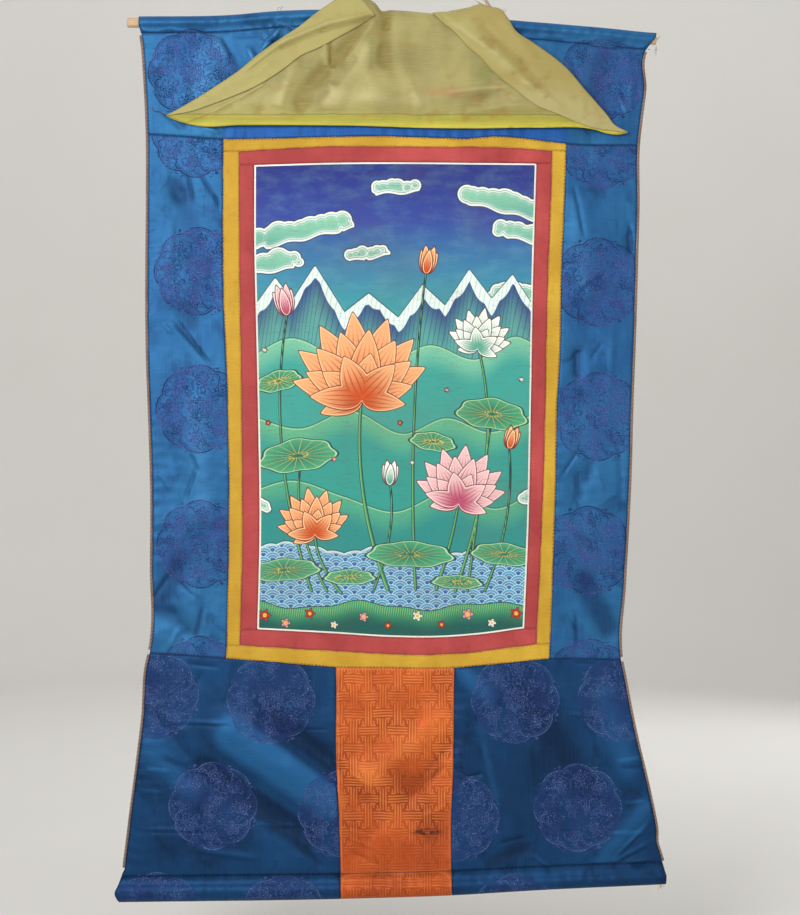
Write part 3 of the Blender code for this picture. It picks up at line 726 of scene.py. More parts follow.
CREASES = (
    # left side panel
    (-246, 292, -238, 336, 2.4, -1.1), (-236, 290, -205, 340, 2.2, -1.4),
    (-231, 300, -224, 330, 2.0, 0.7), (-215, 318, -207, 346, 1.9, -0.9),
    (-268, 462, -212, 526, 2.2, -1.6), (-258, 464, -228, 506, 2.0, -1.2),
    (-233, 478, -229, 512, 1.9, -0.9), (-274, 470, -262, 484, 2.2, 0.8),
    (-243, 618, -232, 644, 2.0, -1.1), (-234, 636, -250, 680, 2.2, -1.2),
    (-262, 756, -290, 796, 3.4, -1.6), (-226, 790, -238, 842, 3.4, -1.6),
    (-258, 765, -236, 790, 2.0, -0.9), (-262, 345, -270, 430, 5.0, 0.9),
    (-222, 380, -214, 470, 5.0, -0.9), (-268, 560, -262, 640, 5.0, -1.0),
    (-280, 640, -262, 668, 2.4, 0.8), (-252, 820, -270, 850, 2.4, 1.0),
    # right side panel
    (200, 306, 214, 380, 2.6, -1.4), (264, 350, 267, 394, 3.4, -1.5),
    (200, 440, 244, 408, 2.0, -1.6), (186, 520, 212, 500, 1.9, -1.1),
    (219, 514, 235, 492, 2.0, -1.1), (204, 498, 203, 536, 3.0, -1.0),
    (183, 652, 207, 616, 2.0, -1.4), (201, 672, 219, 702, 2.0, -0.9),
    (226, 640, 236, 668, 2.2, 0.8), (202, 800, 204, 852, 3.0, -1.5),
    (246, 470, 240, 560, 5.0, 0.9), (214, 680, 226, 745, 5.0, 0.9),
    (252, 600, 256, 690, 4.0, -0.8), (188, 800, 206, 832, 2.2, -0.9),
    # lower left panel
    (-282, 931, -188, 932, 1.8, 1.0), (-280, 934, -190, 935, 1.8, -0.7),
    (-118, 939, -78, 940, 1.8, -0.9), (-308, 1055, -208, 1055, 1.8, 1.0),
    (-306, 1058, -196, 1059, 1.8, -0.8), (-170, 1049, -110, 1052, 1.8, 0.7),
    (-250, 1075, -150, 1090, 4.0, 1.2), (-120, 1070, -86, 1102, 4.0, -1.1),
    (-300, 905, -230, 985, 6.0, -1.2), (-246, 864, -206, 868, 1.9, -1.1),
    (-228, 872, -240, 900, 2.6, -1.0), (-296, 985, -262, 988, 2.0, 0.9),
    (-306, 1010, -270, 1013, 2.0, 0.8), (-278, 970, -226, 996, 4.0, -1.0),
    # lower right panel
    (240, 1096, 292, 1040, 2.2, 1.5), (238, 1098, 296, 1064, 2.0, 1.4),
    (236, 1100, 300, 1086, 2.0, 1.2), (244, 1090, 284, 1058, 2.0, -1.2),
    (246, 1094, 290, 1076, 2.0, -1.1), (232, 1060, 290, 1058, 1.8, 0.9),
    (246, 978, 286, 970, 2.0, 1.0), (250, 984, 290, 982, 2.2, -0.9),
    (252, 1026, 286, 1022, 2.0, 0.9), (190, 922, 236, 925, 1.9, 0.9),
    (70, 996, 98, 990, 2.4, -1.8), (72, 1002, 96, 998, 2.2, 1.1),
    (110, 1072, 150, 1062, 2.6, -1.3), (150, 1084, 176, 1100, 2.2, 1.1),
    (90, 930, 118, 1050, 6.0, 1.2), (168, 1040, 236, 1092, 5.0, -1.1),
    (196, 862, 232, 864, 1.9, -1.1),
    # door panel
    (-70, 1048, -24, 1064, 2.0, -1.0), (-66, 1076, -18, 1100, 2.0, -1.0),
    (-66, 1062, -22, 1080, 2.0, 0.9), (12, 1022, 56, 978, 3.4, -1.3),
    (-66, 986, -26, 1008, 3.4, 0.9), (20, 1044, 58, 1026, 2.4, 0.9),
    (-40, 1012, -8, 1024, 2.4, -0.8),
    # heading
    (-166, 129, -122, 121, 2.0, 2.2), (-162, 141, -126, 152, 2.0, -2.0),
    (-152, 130, -138, 172, 2.2, -2.0), (-178, 148, -158, 190, 3.4, 1.9),
    (-163, 160, -134, 126, 2.2, 2.6), (-158, 166, -130, 136, 2.2, -2.0),
    (-214, 140, -198, 168, 3.4, 1.8), (-206, 138, -186, 176, 3.2, -1.5),
    (-190, 180, -172, 204, 2.4, -1.6), (-128, 128, -112, 146, 2.0, -1.8),
    (-138, 112, -160, 152, 1.9, 1.6), (-124, 140, -96, 127, 2.0, 1.6),
    (-280, 138, -220, 134, 2.4, 1.4), (160, 158, 190, 186, 2.4, 1.6),
    (152, 152, 184, 186, 2.2, -1.6), (206, 138, 258, 146, 2.4, 1.6),
    (210, 148, 262, 154, 2.2, -1.6), (250, 200, 262, 236, 3.0, 1.4),
    (-196, 140, -150, 138, 2.0, -0.9), (150, 138, 206, 150, 2.2, -1.0),
    (138, 146, 178, 172, 2.2, 1.0), (196, 160, 206, 195, 3.4, -1.0),
    (-286, 160, -270, 235, 5.0, -1.2), (268, 176, 262, 240, 5.0, 1.2),
    (-276, 226, -246, 250, 2.4, -1.0), (-230, 244, -206, 252, 2.0, 0.9),
)
TOP_STITCH = 11.5
BOTTOM_STITCH = 17.0
TAIL = 7.0
SLEEVE_TURN = 125.0
PIPING = 2.3
PIPED = (130, 1108)
SEAM = 0.4


def piping_inset(drop):
    """Room for the piping, which runs between the two stitch lines only."""
    first, last = PIPED
    return (PIPING + SEAM) * ease((drop - first) / 8) * ease((last - drop) / 8)


def left_cloth_edge(drop):
    return rail(LEFT_EDGE, drop) + piping_inset(drop)


def right_cloth_edge(drop):
    return rail(RIGHT_EDGE, drop) - piping_inset(drop)


def mount_depth(across, drop):
    """Depth of the mount's middle surface: its folds, flat along both stitch lines."""
    below_top = ease((drop - top_rod_drop(across) - TOP_STITCH) / 25)
    above_bottom = ease((bottom_rod_drop(across) - BOTTOM_STITCH - drop) / 25)
    waves = 0.8 * np.sin(across / 71 + drop / 190) + 0.5 * np.sin(drop / 83 - across / 140)
    return -(ridges(FOLDS, across, drop) + waves) * below_top * above_bottom


print("folds:", len(FOLDS), "creases:", len(CREASES))

# %% [markdown]
# ## Silk surfaces
#
# Silk that has hung for years is never smooth. Each piece gets, besides the mount's folds,
# a faint crinkle from a sum of waves, a groove where it is turned under at a seam, and
# puckers that fade away from the stitches, the longest along the piped edges. The grid
# lines stand closer together beside the seams, where the form changes fastest.
#
# Every piece is a closed thin sheet, and three marks on its points steer its finish. The
# seam mark is the distance to the nearest edge, for stitches, turned-in strips and the
# painted shade where an edge turns under. The fold mark is how far folds stand out, for a
# painted highlight on crests and painted shade in hollows. The reverse mark is 1 on the
# back, which shows a dull ghost of the front and the edges turned in behind it.

# %% Grids between rails
LAP = 0.15
MIDDLE_DROP = 560
ROUNDS = 12
WAVES = 26
SHORTEST_WAVE = 11
EDGE_LINES = np.array([0.0, 0.5, 1.1, 2.0, 3.2])


def cuts(length, cell):
    """Fractions of a length where grid lines stand: close beside both ends, else a cell apart."""
    count = max(2, round((length - 2 * EDGE_LINES[-1]) / cell))
    middle = np.linspace(EDGE_LINES[-1], length - EDGE_LINES[-1], count + 1)[1:-1]
    return np.concatenate([EDGE_LINES, middle, length - EDGE_LINES[::-1]]) / length


def stretch(left, right, top, bottom, u, v):
    """Places between two rails down and two across, at fractions u and v, a lap over each.

    Where a rail down is read depends on the drop, and the other way round, so the two are
    worked out from each other in a few rounds, until they agree.
    """
    u, v = np.meshgrid(u, v)
    drop = MIDDLE_DROP + 0 * u
    for _ in range(ROUNDS):
        start, end = left(drop) - LAP, right(drop) + LAP
        across = start + (end - start) * u
        start, end = top(across) - LAP, bottom(across) + LAP
        drop = start + (end - start) * v
    return across, drop


def crinkle(across, drop, seed, size=0.22):
    """A sum of waves 11 to 88 mm long, each as high as it is long, scaled to a size in mm."""
    pick = np.random.default_rng(seed)
    total = np.zeros_like(across)
    weight = 0.0
    for _ in range(WAVES):
        long = SHORTEST_WAVE * 8 ** pick.random()
        heading = pick.normal(0, 0.55) + (math.pi / 2 if pick.random() < 0.3 else 0.0)
        shift = pick.random() * 2 * math.pi
        ahead = across * math.cos(heading) + drop * math.sin(heading)
        total += long * np.sin(2 * math.pi * ahead / long + shift)
        weight += long * long
    return size * total * math.sqrt(2 / weight)


def pucker(way, apart, height=0.32, fade=8.0):
    """Ripples across a seam that fade away from it, uneven along the way."""
    ripple = np.sin(way / 2.1 + 1.7 * np.sin(way / 31)) + 0.7 * np.sin(way / 3.7 + 2)
    return height * ripple * np.exp(-np.abs(apart) / fade) * (0.6 + 0.4 * np.sin(way / 47))


def groove(apart, deep=0.55, wide=1.5):
    """The turned-under edge of a piece beside its seam."""
    return deep * np.exp(-(apart / wide) ** 2)


def fold_height(across, drop):
    """How far folds and creases stand out, in mm, for the finish's painted highlights and shade."""
    return ridges(FOLDS, across, drop) + 1.6 * ridges(CREASES, across, drop, 0.3)


def silk_depth(across, drop, sides, seed, tight=1.0):
    """Depth in mm of a piece of the mount, given its (left, right, top, bottom) rails."""
    left, right, top, bottom = sides
    depth = mount_depth(across, drop) - ridges(CREASES, across, drop, 0.3) * tight
    depth -= crinkle(across, drop, seed, 0.3) * tight
    for apart in (across - left_cloth_edge(drop), right_cloth_edge(drop) - across):
        depth -= pucker(drop * 0.9 + 3 * np.sin(across / 9), apart, 0.2, 20) * tight
    for apart, way in ((across - left(drop), drop), (right(drop) - across, drop),
                       (drop - top(across), across), (bottom(across) - drop, across)):
        depth += groove(apart) - pucker(way, apart) * tight
    return depth


# %% Thin sheets from a grid of middle points
def grid_normals(points):
    """Unit normals of a grid, towards the back of a cloth whose rows run down."""
    below, beside = np.gradient(points, axis=0), np.gradient(points, axis=1)
    return unit(np.cross(beside, below))


def cloth_map(points, across, drop):
    """Places on the flat cloth in mm: across as it lies, and the way down measured on it."""
    steps = np.cumsum(step_lengths(points) / MM, axis=0)
    way = np.concatenate([np.zeros((1, points.shape[1])), steps])
    middle = len(points) // 2
    return np.stack([across, way - way[middle] + drop[middle]], axis=-1)


def sheet(name, points, thickness, finish, maps, marks=(), step=1):
    """Close a grid of middle points into a thin sheet: front, back and the rim between.

    The back has one face for every step x step faces in front.
    """
    rows, columns, _ = points.shape
    offset = grid_normals(points) * thickness * MM / 2
    rear = (points + offset)[::step, ::step]
    few_rows, few_columns, _ = rear.shape
    count = rows * columns
    back = grid_faces(few_rows, few_columns, count)[:, ::-1]
    index = np.arange(count).reshape(rows, columns)
    coarse = count + np.arange(few_rows * few_columns).reshape(few_rows, few_columns)
    rims = []
    for fine, few in ((index[0, ::-1], coarse[0, ::-1]), (index[:, 0], coarse[:, 0]),
                      (index[-1], coarse[-1]), (index[::-1, -1], coarse[::-1, -1])):
        runs = fine[np.arange(len(few) - 1)[:, None] * step + np.arange(step + 1)]
        rims.append(np.column_stack([runs[:, ::-1], few[:-1], few[1:]]))
    cloth = np.concatenate([(points - offset).reshape(-1, 3), rear.reshape(-1, 3)])

    def both(values):
        """Values of the front's points, then those of the back's."""
        values = values.reshape(rows, columns, -1)
        kept = values[::step, ::step].reshape(few_rows * few_columns, -1)
        return np.concatenate([values.reshape(count, -1), kept]).squeeze()

    maps = {title: both(flat) for title, flat in dict(maps).items()}
    marks = {title: both(values) for title, values in dict(marks).items()}
    marks["reverse"] = np.repeat([0.0, 1.0], [count, few_rows * few_columns])
    faces = [grid_faces(rows, columns), back, np.concatenate(rims)]
    return add_piece(name, cloth, faces, finish, maps, marks)


def sew(piece, node, slot):
    dress(piece, slot, node)


# %% [markdown]
# ## Blue brocade
#
# The mount's main silk is a blue satin with round medallions, each a ring of eight curling
# scallops round flowers and scrolls. The ground shines because its threads float. The
# figure is woven in violet and navy threads that lie short and dull. So where light falls
# the figure looks dark, and in the shade it looks paler than the ground. One sum in the
# medallion's own polar coordinates gives all its lines.

# %% Medallion centres: (across, drop)
MEDALLION_EDGE = 62
HEADING_MEDALLIONS = ((-240, 182), (233, 188))
SIDE_MEDALLIONS = (
    (-236, 252), (-233, 411), (-231, 570), (-230, 726), (-230, 883),
    (234, 265), (228.5, 423.5), (228.5, 579), (217, 733), (219, 886),
)
LOWER_MEDALLIONS = (
    (-283, 898), (-149, 904), (-216, 1028), (-67, 1037), (-280, 1157), (-134, 1160),
    (133, 905), (256, 901), (205, 1030.5), (63.5, 1041), (131.6, 1159),
)


def medallion_map(flat, centres):
    """Each point's place relative to its nearest medallion, and a mark of 1 well inside it."""
    apart = flat[..., None, :] - np.array(centres, float)
    far = np.linalg.norm(apart, axis=-1)
    nearest = far.argmin(axis=-1)[..., None]
    spot = np.take_along_axis(apart, nearest[..., None], axis=-2)[..., 0, :]
    far = np.take_along_axis(far, nearest, axis=-1)[..., 0]
    return spot, ease((MEDALLION_EDGE - far) / 6)


def sector(finish, r, turn, count, shift=0.0):
    """Fold the plane into one of count equal sectors, and give the place in it."""
    part = (turn * (count / (2 * math.pi)) + 0.5 + shift).fraction() - 0.5
    angle = part * (2 * math.pi / count)
    return r * finish.math("COSINE", angle), r * finish.math("SINE", angle)


def flower(finish, x, y, petals, deep, sizes, width):
    """Outlines of a round flower: r / (1 + deep * cos(petals * turn)) equal to each size."""
    turn = finish.math("ARCTAN2", y, x)
    rounded = finish.length(x, y) / (1 + deep * finish.math("COSINE", turn * petals))
    lines = [rounded.band(size, width) for size in sizes]
    return finish.most(*lines, rounded.step(1.7, 1.1))


def medallion_lines(finish, x, y):
    """1 on a medallion's woven lines, in mm from its centre.

    Each of the eight scallops ends in a small coil, like a comma. Between the flowers runs a
    thin vine, which is a set of level lines of a noise, broken into leaves and dashes.
    """
    r = finish.length(x, y)
    turn = finish.math("ARCTAN2", y, x)
    wide, high = sector(finish, r, turn, 8)
    lobe = finish.length(wide - 26.5, high)
    arcs = finish.most(lobe.band(24.0, 0.8), lobe.band(21.8, 0.35) * 0.8)
    arcs = arcs * r.step(38, 41)
    coil = finish.length(wide - 38.2, high + 12)
    hooks = coil.band(4.5, 0.8) * (1 - (wide < 37.5) * (high > -12.5))
    hooks = finish.most(hooks, coil.band(1.9, 0.5) * (wide > 38.2) * 0.7)
    blooms = flower(finish, wide - 34.5, high - 2.5, 5, 0.26, (6.6, 3.6), 0.6)
    leaf = finish.length(wide - 22.5, (high - 4) * 1.6)
    leaves = leaf.band(4.4, 0.5)
    heart = flower(finish, x, y, 8, 0.14, (12.0, 9.4), 0.6)
    core = flower(finish, x, y, 6, 0.22, (6.4, 3.8), 0.6)
    open_field = coil.step(5.0, 6.2) * lobe.step(21.5, 20.5)
    open_field = finish.most(open_field, r.step(38, 36))
    vine = finish.noise(x / 8.5, y / 8.5, 0.5, detail=1, curl=1.1)
    dash = finish.noise(x / 2.6, y / 2.6, 4.5, detail=1).step(0.4, 0.5)
    vines = (vine * 8).fraction().band(0.5, 0.2) * dash * open_field
    outer = finish.noise(x / 3.2, y / 3.2, 7.5, detail=1, curl=0.6)
    sparks = outer.step(0.56, 0.62) * r.band(51.2, 2.0)
    sparks = sparks * abs(high).step(9.5, 12.5)
    return finish.most(arcs, hooks, blooms, leaves, heart, core, vines * 0.85, sparks)


# %% Satin with medallions
def stitches_and_edge_shade(finish, x, y, pitch=3.4):
    """1 on short stitches beside a seam, and the painted soft shade where the edge turns under."""
    seam = finish.mark("seam")
    ticks = ((x + y) / pitch).fraction().band(0.5, 0.22)
    return ticks * seam.band(0.9, 0.6), seam.step(2.2, 0.0)


def seam_allowance(finish, tone, edge_tone, shade, wide=8.0):
    """The back of a piece: its edge is turned in, and ends in a ragged line with a shade."""
    x, y = finish.map("cloth")
    seam = finish.mark("seam") + (finish.noise(x / 2.2, y / 2.2, 15.0) - 0.5) * 2.2
    tone = finish.coats(tone, (
        (seam.step(wide + 0.4, wide - 0.4) * 0.7, edge_tone),
        (seam.band(wide + 0.6, 0.5) * 0.8, shade)))
    return finish.mix(seam.step(1.6, 0.2) * 0.7, tone, shade)


def painted_fold_light(finish, tone, crest, hollow, strength=0.75):
    """Painted light on folds: a painted highlight on the crests and painted shade in the hollows.
    """
    fold = finish.mark("fold")
    tone = finish.mix(fold.step(0.6, 3.9) * strength, tone, crest)
    return finish.mix(fold.step(-0.5, -2.9) * strength, tone, hollow)


def brocade(name, ground_tones, patch_tone, figure_tones, patch_share):
    """Blue satin: a shining ground, dull figure threads, fine warp, slubs and old wear.

    The lighter brocade is darker and bluer in the strip that the veil's hem shades.
    """
    finish = Finish(name, Specular_IOR_Level=0.2)
    finish.shader.inputs["Anisotropic"].default_value = 0.3
    x, y = finish.map("cloth")
    spot_x, spot_y = finish.map("medallion")
    inside = finish.mark("medallion_reach")
    reverse = finish.mark("reverse")
    crest, lit, deep, dark = ground_tones
    navy, violet, lilac = figure_tones
    broken = finish.noise(x / 0.9, y / 1.1, detail=2).step(0.34, 0.5)
    line = medallion_lines(finish, spot_x, spot_y) * inside * (0.45 + broken * 0.55)
    patch = inside * finish.length(spot_x, spot_y).step(52, 45)
    broad = finish.noise(x / 95, y / 130, detail=3, rough=0.55)
    cloudy = finish.noise(x / 30, y / 42, 4.0, detail=4, rough=0.6, curl=0.6)
    slub = finish.noise(x / 26, y / 0.7, 5.0, detail=2)
    warp = finish.noise(x / 0.55, y / 45, 9.0, detail=2)
    ground = finish.mix(broad.step(0.3, 0.7), deep, lit)
    ground = finish.coats(ground, (
        (cloudy.step(0.52, 0.72) * 0.55, dark),
        (cloudy.step(0.44, 0.26) * 0.35, lit)))
    if name == "blue_brocade":
        strip = y.step(241.0, 246.0) * y.step(268.0, 264.0) * abs(x + 5).step(205.0, 190.0)
        ground = finish.mix(strip * 0.65, ground, "#1A4894")
    # Painted highlight on the fold crests and painted shade in the hollows.
    ground = painted_fold_light(finish, ground, crest, dark)
    # Painted light on the figure: a noise turns its threads from navy to violet, and lilac specks
    # are painted glints.
    shade = finish.noise(x / 24, y / 28, 2.0, detail=2)
    thread = finish.mix(shade.step(0.4, 0.6), navy, violet)
    spark = finish.noise(x / 1.7, y / 1.7, 8.0, detail=1).step(0.54, 0.66)
    ground = finish.coats(ground, (
        (slub.step(0.55, 0.72) * 0.22, dark),
        (warp.step(0.4, 0.8) * 0.16, crest),
        (patch * patch_share, patch_tone)))
    thread = finish.mix(spark * shade.step(0.36, 0.5) * 0.7, thread, lilac)
    woven = finish.mix(line * 0.86, ground, thread)
    wear = finish.noise(x / 7, y / 9, 3.0, detail=5, rough=0.7).step(0.62, 0.8)
    stitches, turned = stitches_and_edge_shade(finish, x, y)
    back = finish.mix(broad, dark, deep)
    woven = finish.coats(woven, (
        (wear * 0.12, "#6C88A4"),
        # Painted shade where the edge turns under.
        (turned * 0.5, dark),
        (stitches * 0.7, "#0E1A3A")))
    back = finish.coats(back, (
        (cloudy.step(0.4, 0.7) * 0.3, lit),
        (patch * 0.14 + line * 0.3, lilac)))
    # The back gets the painted fold light turned round: the front's crests darker, its hollows
    # lighter.
    back = painted_fold_light(finish, back, dark, crest, 0.22)
    back = finish.mix(slub.step(0.5, 0.7) * 0.25, back, "#6C88A4")
    back = seam_allowance(finish, back, deep, "#0A1430")
    tone = finish.mix(reverse, woven, back)
    rough = 0.5 + line * 0.25 + reverse * 0.25 + slub * 0.08
    finish.bump(line * 0.08 + slub * 0.1 + warp * 0.05 + cloudy * 0.5 - stitches * 0.15
                + finish.noise(x / 5, y / 6, 7.0, detail=2) * 0.14)
    metal = (1 - line * 0.8) * (1 - reverse) * 0.55
    return finish.show(Base_Color=tone, Roughness=rough, Metallic=metal)


blue_silk = brocade("blue_brocade", ("#4488B8", "#2A6694", "#205284", "#12305A"), "#2F3A86",
                    ("#141E54", "#3A387C", "#6E74B4"), 0.14)
# The lower panels' copy is darker: partly a darker silk, partly painted shade for the less light
# that reaches them.
darker_shaded_blue_silk = brocade("dark_blue_brocade", ("#27659A", "#164370", "#113258", "#0A1C38"),
                         "#1E2C64", ("#26386E", "#3E5288", "#7488B8"), 0.24)
print("brocade nodes:", len(blue_silk.node_tree.nodes))


# %% Side panels
def seam_distance(across, drop, sides):
    """How far each point lies from the nearest of its piece's four edges, in mm."""
    left, right, top, bottom = sides
    return np.minimum(np.minimum(across - left(drop), right(drop) - across),
                      np.minimum(drop - top(across), bottom(across) - drop))


def mount_sheet(name, points, flat, centres, seam, fold, finish):
    """A sheet that carries its flat map, its medallions, its seams and its folds."""
    spot, reach = medallion_map(flat, centres)
    return sheet(name, points, CLOTH, finish, {"cloth": flat, "medallion": spot},
                 {"medallion_reach": reach, "seam": seam, "fold": fold})


def flat_piece(name, sides, size, cell, finish, seed, tight=1.0):
    """A piece of the mount between four rails; size is about (width, length) in mm."""
    across, drop = stretch(*sides, *(cuts(side, cell) for side in size))
    points = place(across, silk_depth(across, drop, sides, seed, tight), drop)
    flat = np.stack([across, drop], axis=-1)
    return mount_sheet(name, points, flat, SIDE_MEDALLIONS, seam_distance(across, drop, sides),
                       fold_height(across, drop), finish), points


SIDE_PANELS = (
    ("left", left_cloth_edge, follow(OUTER_LEFT), 11),
    ("right", follow(OUTER_RIGHT), right_cloth_edge, 12),
)
for side, left, right, seed in SIDE_PANELS:
    panel, points = flat_piece(f"side_silk_{side}", (left, right, follow(UPPER_SEAM),
                               follow(LOWER_SEAM)), (90, 600), 1.7, blue_silk, seed)
    sew(panel, f"side_panel_{side}", "blue_brocade")


# %% [markdown]
# ## Heading and lower panels
#
# The heading turns over the top rod and is stitched to itself below it, which makes the
# sleeve. The lower panels end in such a sleeve too. Each is one cloth, so one grid runs from
# the flat panel round the rod to the stitched back edge. The stitch line holds the cloth
# flat, and the sleeve is gathered a little between the stitches.


# %% Sleeves
def sleeve(stitched, left, right, rod_drop, radius, stitch, below, steps=26):
    """Grid rows of a rod's sleeve: round the rod from the front, then the stitched back edge.

    stitched is the row of across at the stitch line. below is 1 where that line lies under
    the rod and -1 where it lies over it.
    """
    turn = np.radians(np.linspace(-SLEEVE_TURN, SLEEVE_TURN, steps))[:, None]
    flat = np.ones_like(stitched)
    ripple = 0.28 * np.sin(stitched / 2.3 + 2 * np.sin(stitched / 17)) + crinkle(
        stitched, 0 * stitched, 31, 0.3)
    swell = radius + ripple * np.sin(turn) ** 2
    depth = np.concatenate([swell * np.sin(turn), flat * ROD_DEPTH, flat * ROD_DEPTH])
    away = np.concatenate([-swell * np.cos(turn), flat * stitch, flat * (stitch + TAIL)])
    drop = rod_drop(stitched) + below * away
    start, end = left(drop) + SEAM / 2, right(drop) - SEAM / 2
    share = ((stitched - stitched[0, 0]) / (stitched[0, -1] - stitched[0, 0]))
    return start + (end - start) * share, depth + ROD_DEPTH, drop


def sleeved(name, sides, size, cell, finish, seed, head):
    """A panel whose head or foot runs on into its sleeve, as points, across and drop."""
    left, right, _, _ = sides
    across, drop = stretch(*sides, *(cuts(side, cell) for side in size))
    depth = silk_depth(across, drop, sides, seed)
    first, last = (-len(across), -1) if head else (0, len(across) - 1)
    if head:
        radius = TOP_ROD_RADIUS + FIT + CLOTH / 2 + 0 * across[:1]
        turned = sleeve(across[:1], left, right, top_rod_drop, radius, TOP_STITCH, 1)
        grids = [(extra[::-1], panel) for extra, panel in zip(turned, (across, depth, drop))]
    else:
        radius = rail(BOTTOM_ROD_TAPER, across[-1:]) + FIT + CLOTH / 2
        turned = sleeve(across[-1:], left, right, bottom_rod_drop, radius, BOTTOM_STITCH, -1)
        grids = list(zip((across, depth, drop), turned))
    across, depth, drop = (np.concatenate(pair) for pair in grids)
    points = place(across, depth, drop)
    flat = cloth_map(points, across, drop)
    way = flat[..., 1]
    seam = np.minimum(np.minimum(across - left(drop), right(drop) - across),
                      np.minimum(abs(way - way[first]), abs(way - way[last])))
    centres = HEADING_MEDALLIONS if head else LOWER_MEDALLIONS
    fold = fold_height(across, drop) * ease(seam / 4)
    return mount_sheet(name, points, flat, centres, seam, fold, finish), points


# %% Make the heading
def top_line(across):
    return top_rod_drop(across) + TOP_STITCH


def bottom_line(across):
    return bottom_rod_drop(across) - BOTTOM_STITCH


HEADING_RAILS = (left_cloth_edge, right_cloth_edge, top_line, follow(UPPER_SEAM))
heading, points = sleeved("heading_silk", HEADING_RAILS, (590, 120), 2.0, blue_silk, 13,
                          head=True)
sew(heading, "top_panel", "blue_brocade")

# %% [markdown]
# ## The orange door
#
# Between the lower panels hangs a strip of orange silk woven with a key fret, which the
# makers call the door. The fret is a lattice of short triple bars, upright and level in
# turn, whose outer lines hook at the ends. It repeats every 17 mm across and 39.7 mm down,
# so the sum works in one repeat and folds the rest of the cloth onto it.

# %% Key fret silk
FRET_ACROSS = 17.0
FRET_DOWN = 39.7
FRET_START = (-53.5, 901.2)
FRET_LINE = 3.2
FRET_HALF = 0.75


def fret_lines(finish, x, y):
    """1 on the fret's pale lines, from the place in its repeat.

    Columns are numbered across, and every second one is half a repeat lower. In a column an
    upright triple bar stands round the middle and a level one half a repeat away.
    """
    column = (x - FRET_START[0]) / FRET_ACROSS + 0.5
    side = abs((column.fraction() - 0.5) * FRET_ACROSS)
    odd = finish.math("FLOORED_MODULO", finish.math("FLOOR", column), 2.0)
    row = (y - FRET_START[1]) / FRET_DOWN + 0.5 - odd * 0.5
    high = abs((row.fraction() - 0.5) * FRET_DOWN)
    low = FRET_DOWN / 2 - high
    upright, level, next_level = (
        finish.most(apart.band(0.0, FRET_HALF), apart.band(FRET_LINE, FRET_HALF))
        for apart in (side, low, high))
    upright = upright * high.step(13.8, 13.2) * side.step(5.8, 5.2)
    next_level = next_level * side.step(5.2, 5.8)
    arm = high.band(13.4, 0.7) * side.step(2.8, 3.2)
    hook = side.band(6.3, 0.7) * high.band(10.4, 2.2)
    return finish.most(upright, level, next_level, arm, hook)


def orange_brocade():
    """Orange silk with a paler fret, brown stains, and a fret that wears away in places."""
    finish = Finish("orange_brocade", Specular_IOR_Level=0.25)
    x, y = finish.map("cloth")
    reverse = finish.mark("reverse")
    wobble = finish.noise(x / 30, y / 30, 4.0) - 0.5
    line = fret_lines(finish, x + wobble * 2.0, y + wobble * 2.6)
    worn = finish.noise(x / 40, y / 46, 8.0, detail=3).step(0.32, 0.62) * 0.75 + 0.25
    foot = y.step(1085.0, 1010.0) * 0.55 + 0.45
    broken = finish.noise(x / 0.9, y / 1.1, 1.0).step(0.3, 0.55) * 0.35 + 0.65
    line = line * worn * foot * broken
    broad = finish.noise(x / 46, y / 60, 6.0, detail=4)
    slub = finish.noise(x / 22, y / 0.6, 5.0)
    warp = finish.noise(x / 0.5, y / 30, 9.0)
    ground = finish.mix(broad.step(0.3, 0.7), "#A44216", "#C4571D")
    # Painted highlight on the fold crests and painted shade in the hollows.
    ground = painted_fold_light(finish, ground, "#E27A36", "#86300F", 0.65)
    # Painted shade, darker towards the bottom of the door.
    low = y.step(960.0, 1090.0)
    ground = finish.coats(ground, (
        (slub.step(0.5, 0.75) * 0.22, "#DA7038"),
        (warp.step(0.45, 0.75) * 0.18, "#8E3010"),
        (low * 0.35, "#9C3A16")))
    woven = finish.mix(line * 0.58, ground, "#EE9650")
    border = finish.mark("seam").step(3.4, 1.8)
    smear = finish.length((x - 30) / 19, (y - 1059) / 4.2).step(1.25, 0.5)
    smear = smear * finish.noise(x / 7, y / 4, 3.0, detail=3).step(0.3, 0.55)
    rub = finish.noise(x / 15, y / 12, 12.0, detail=4).step(0.56, 0.74)
    stitches, turned = stitches_and_edge_shade(finish, x, y)
    back = finish.mix(broad, "#8A3216", "#A84A22")
    woven = finish.coats(woven, (
        (border * 0.45, "#E07A40"),
        (smear * 0.85, "#3E1A10"),
        (rub * 0.14, "#8C3418"),
        # Painted shade where the edge turns under.
        (turned * 0.4, "#7A2A10")))
    back = finish.mix(line * 0.3, back, "#6E260E")
    # The back gets the painted fold light turned round: the front's crests darker, its hollows
    # lighter.
    back = painted_fold_light(finish, back, "#6E260E", "#C66A38", 0.5)
    back = seam_allowance(finish, back, "#B4562A", "#4A1808")
    tone = finish.mix(reverse, woven, back)
    finish.bump(line * 0.14 + slub * 0.1 + finish.noise(x / 4, y / 5, 7.0) * 0.12
                - stitches * 0.1)
    metal = (1 - line * 0.6) * (1 - reverse) * 0.35
    rough = 0.5 + line * 0.12 + reverse * 0.25 + rub * 0.1
    return finish.show(Base_Color=tone, Roughness=rough, Metallic=metal)


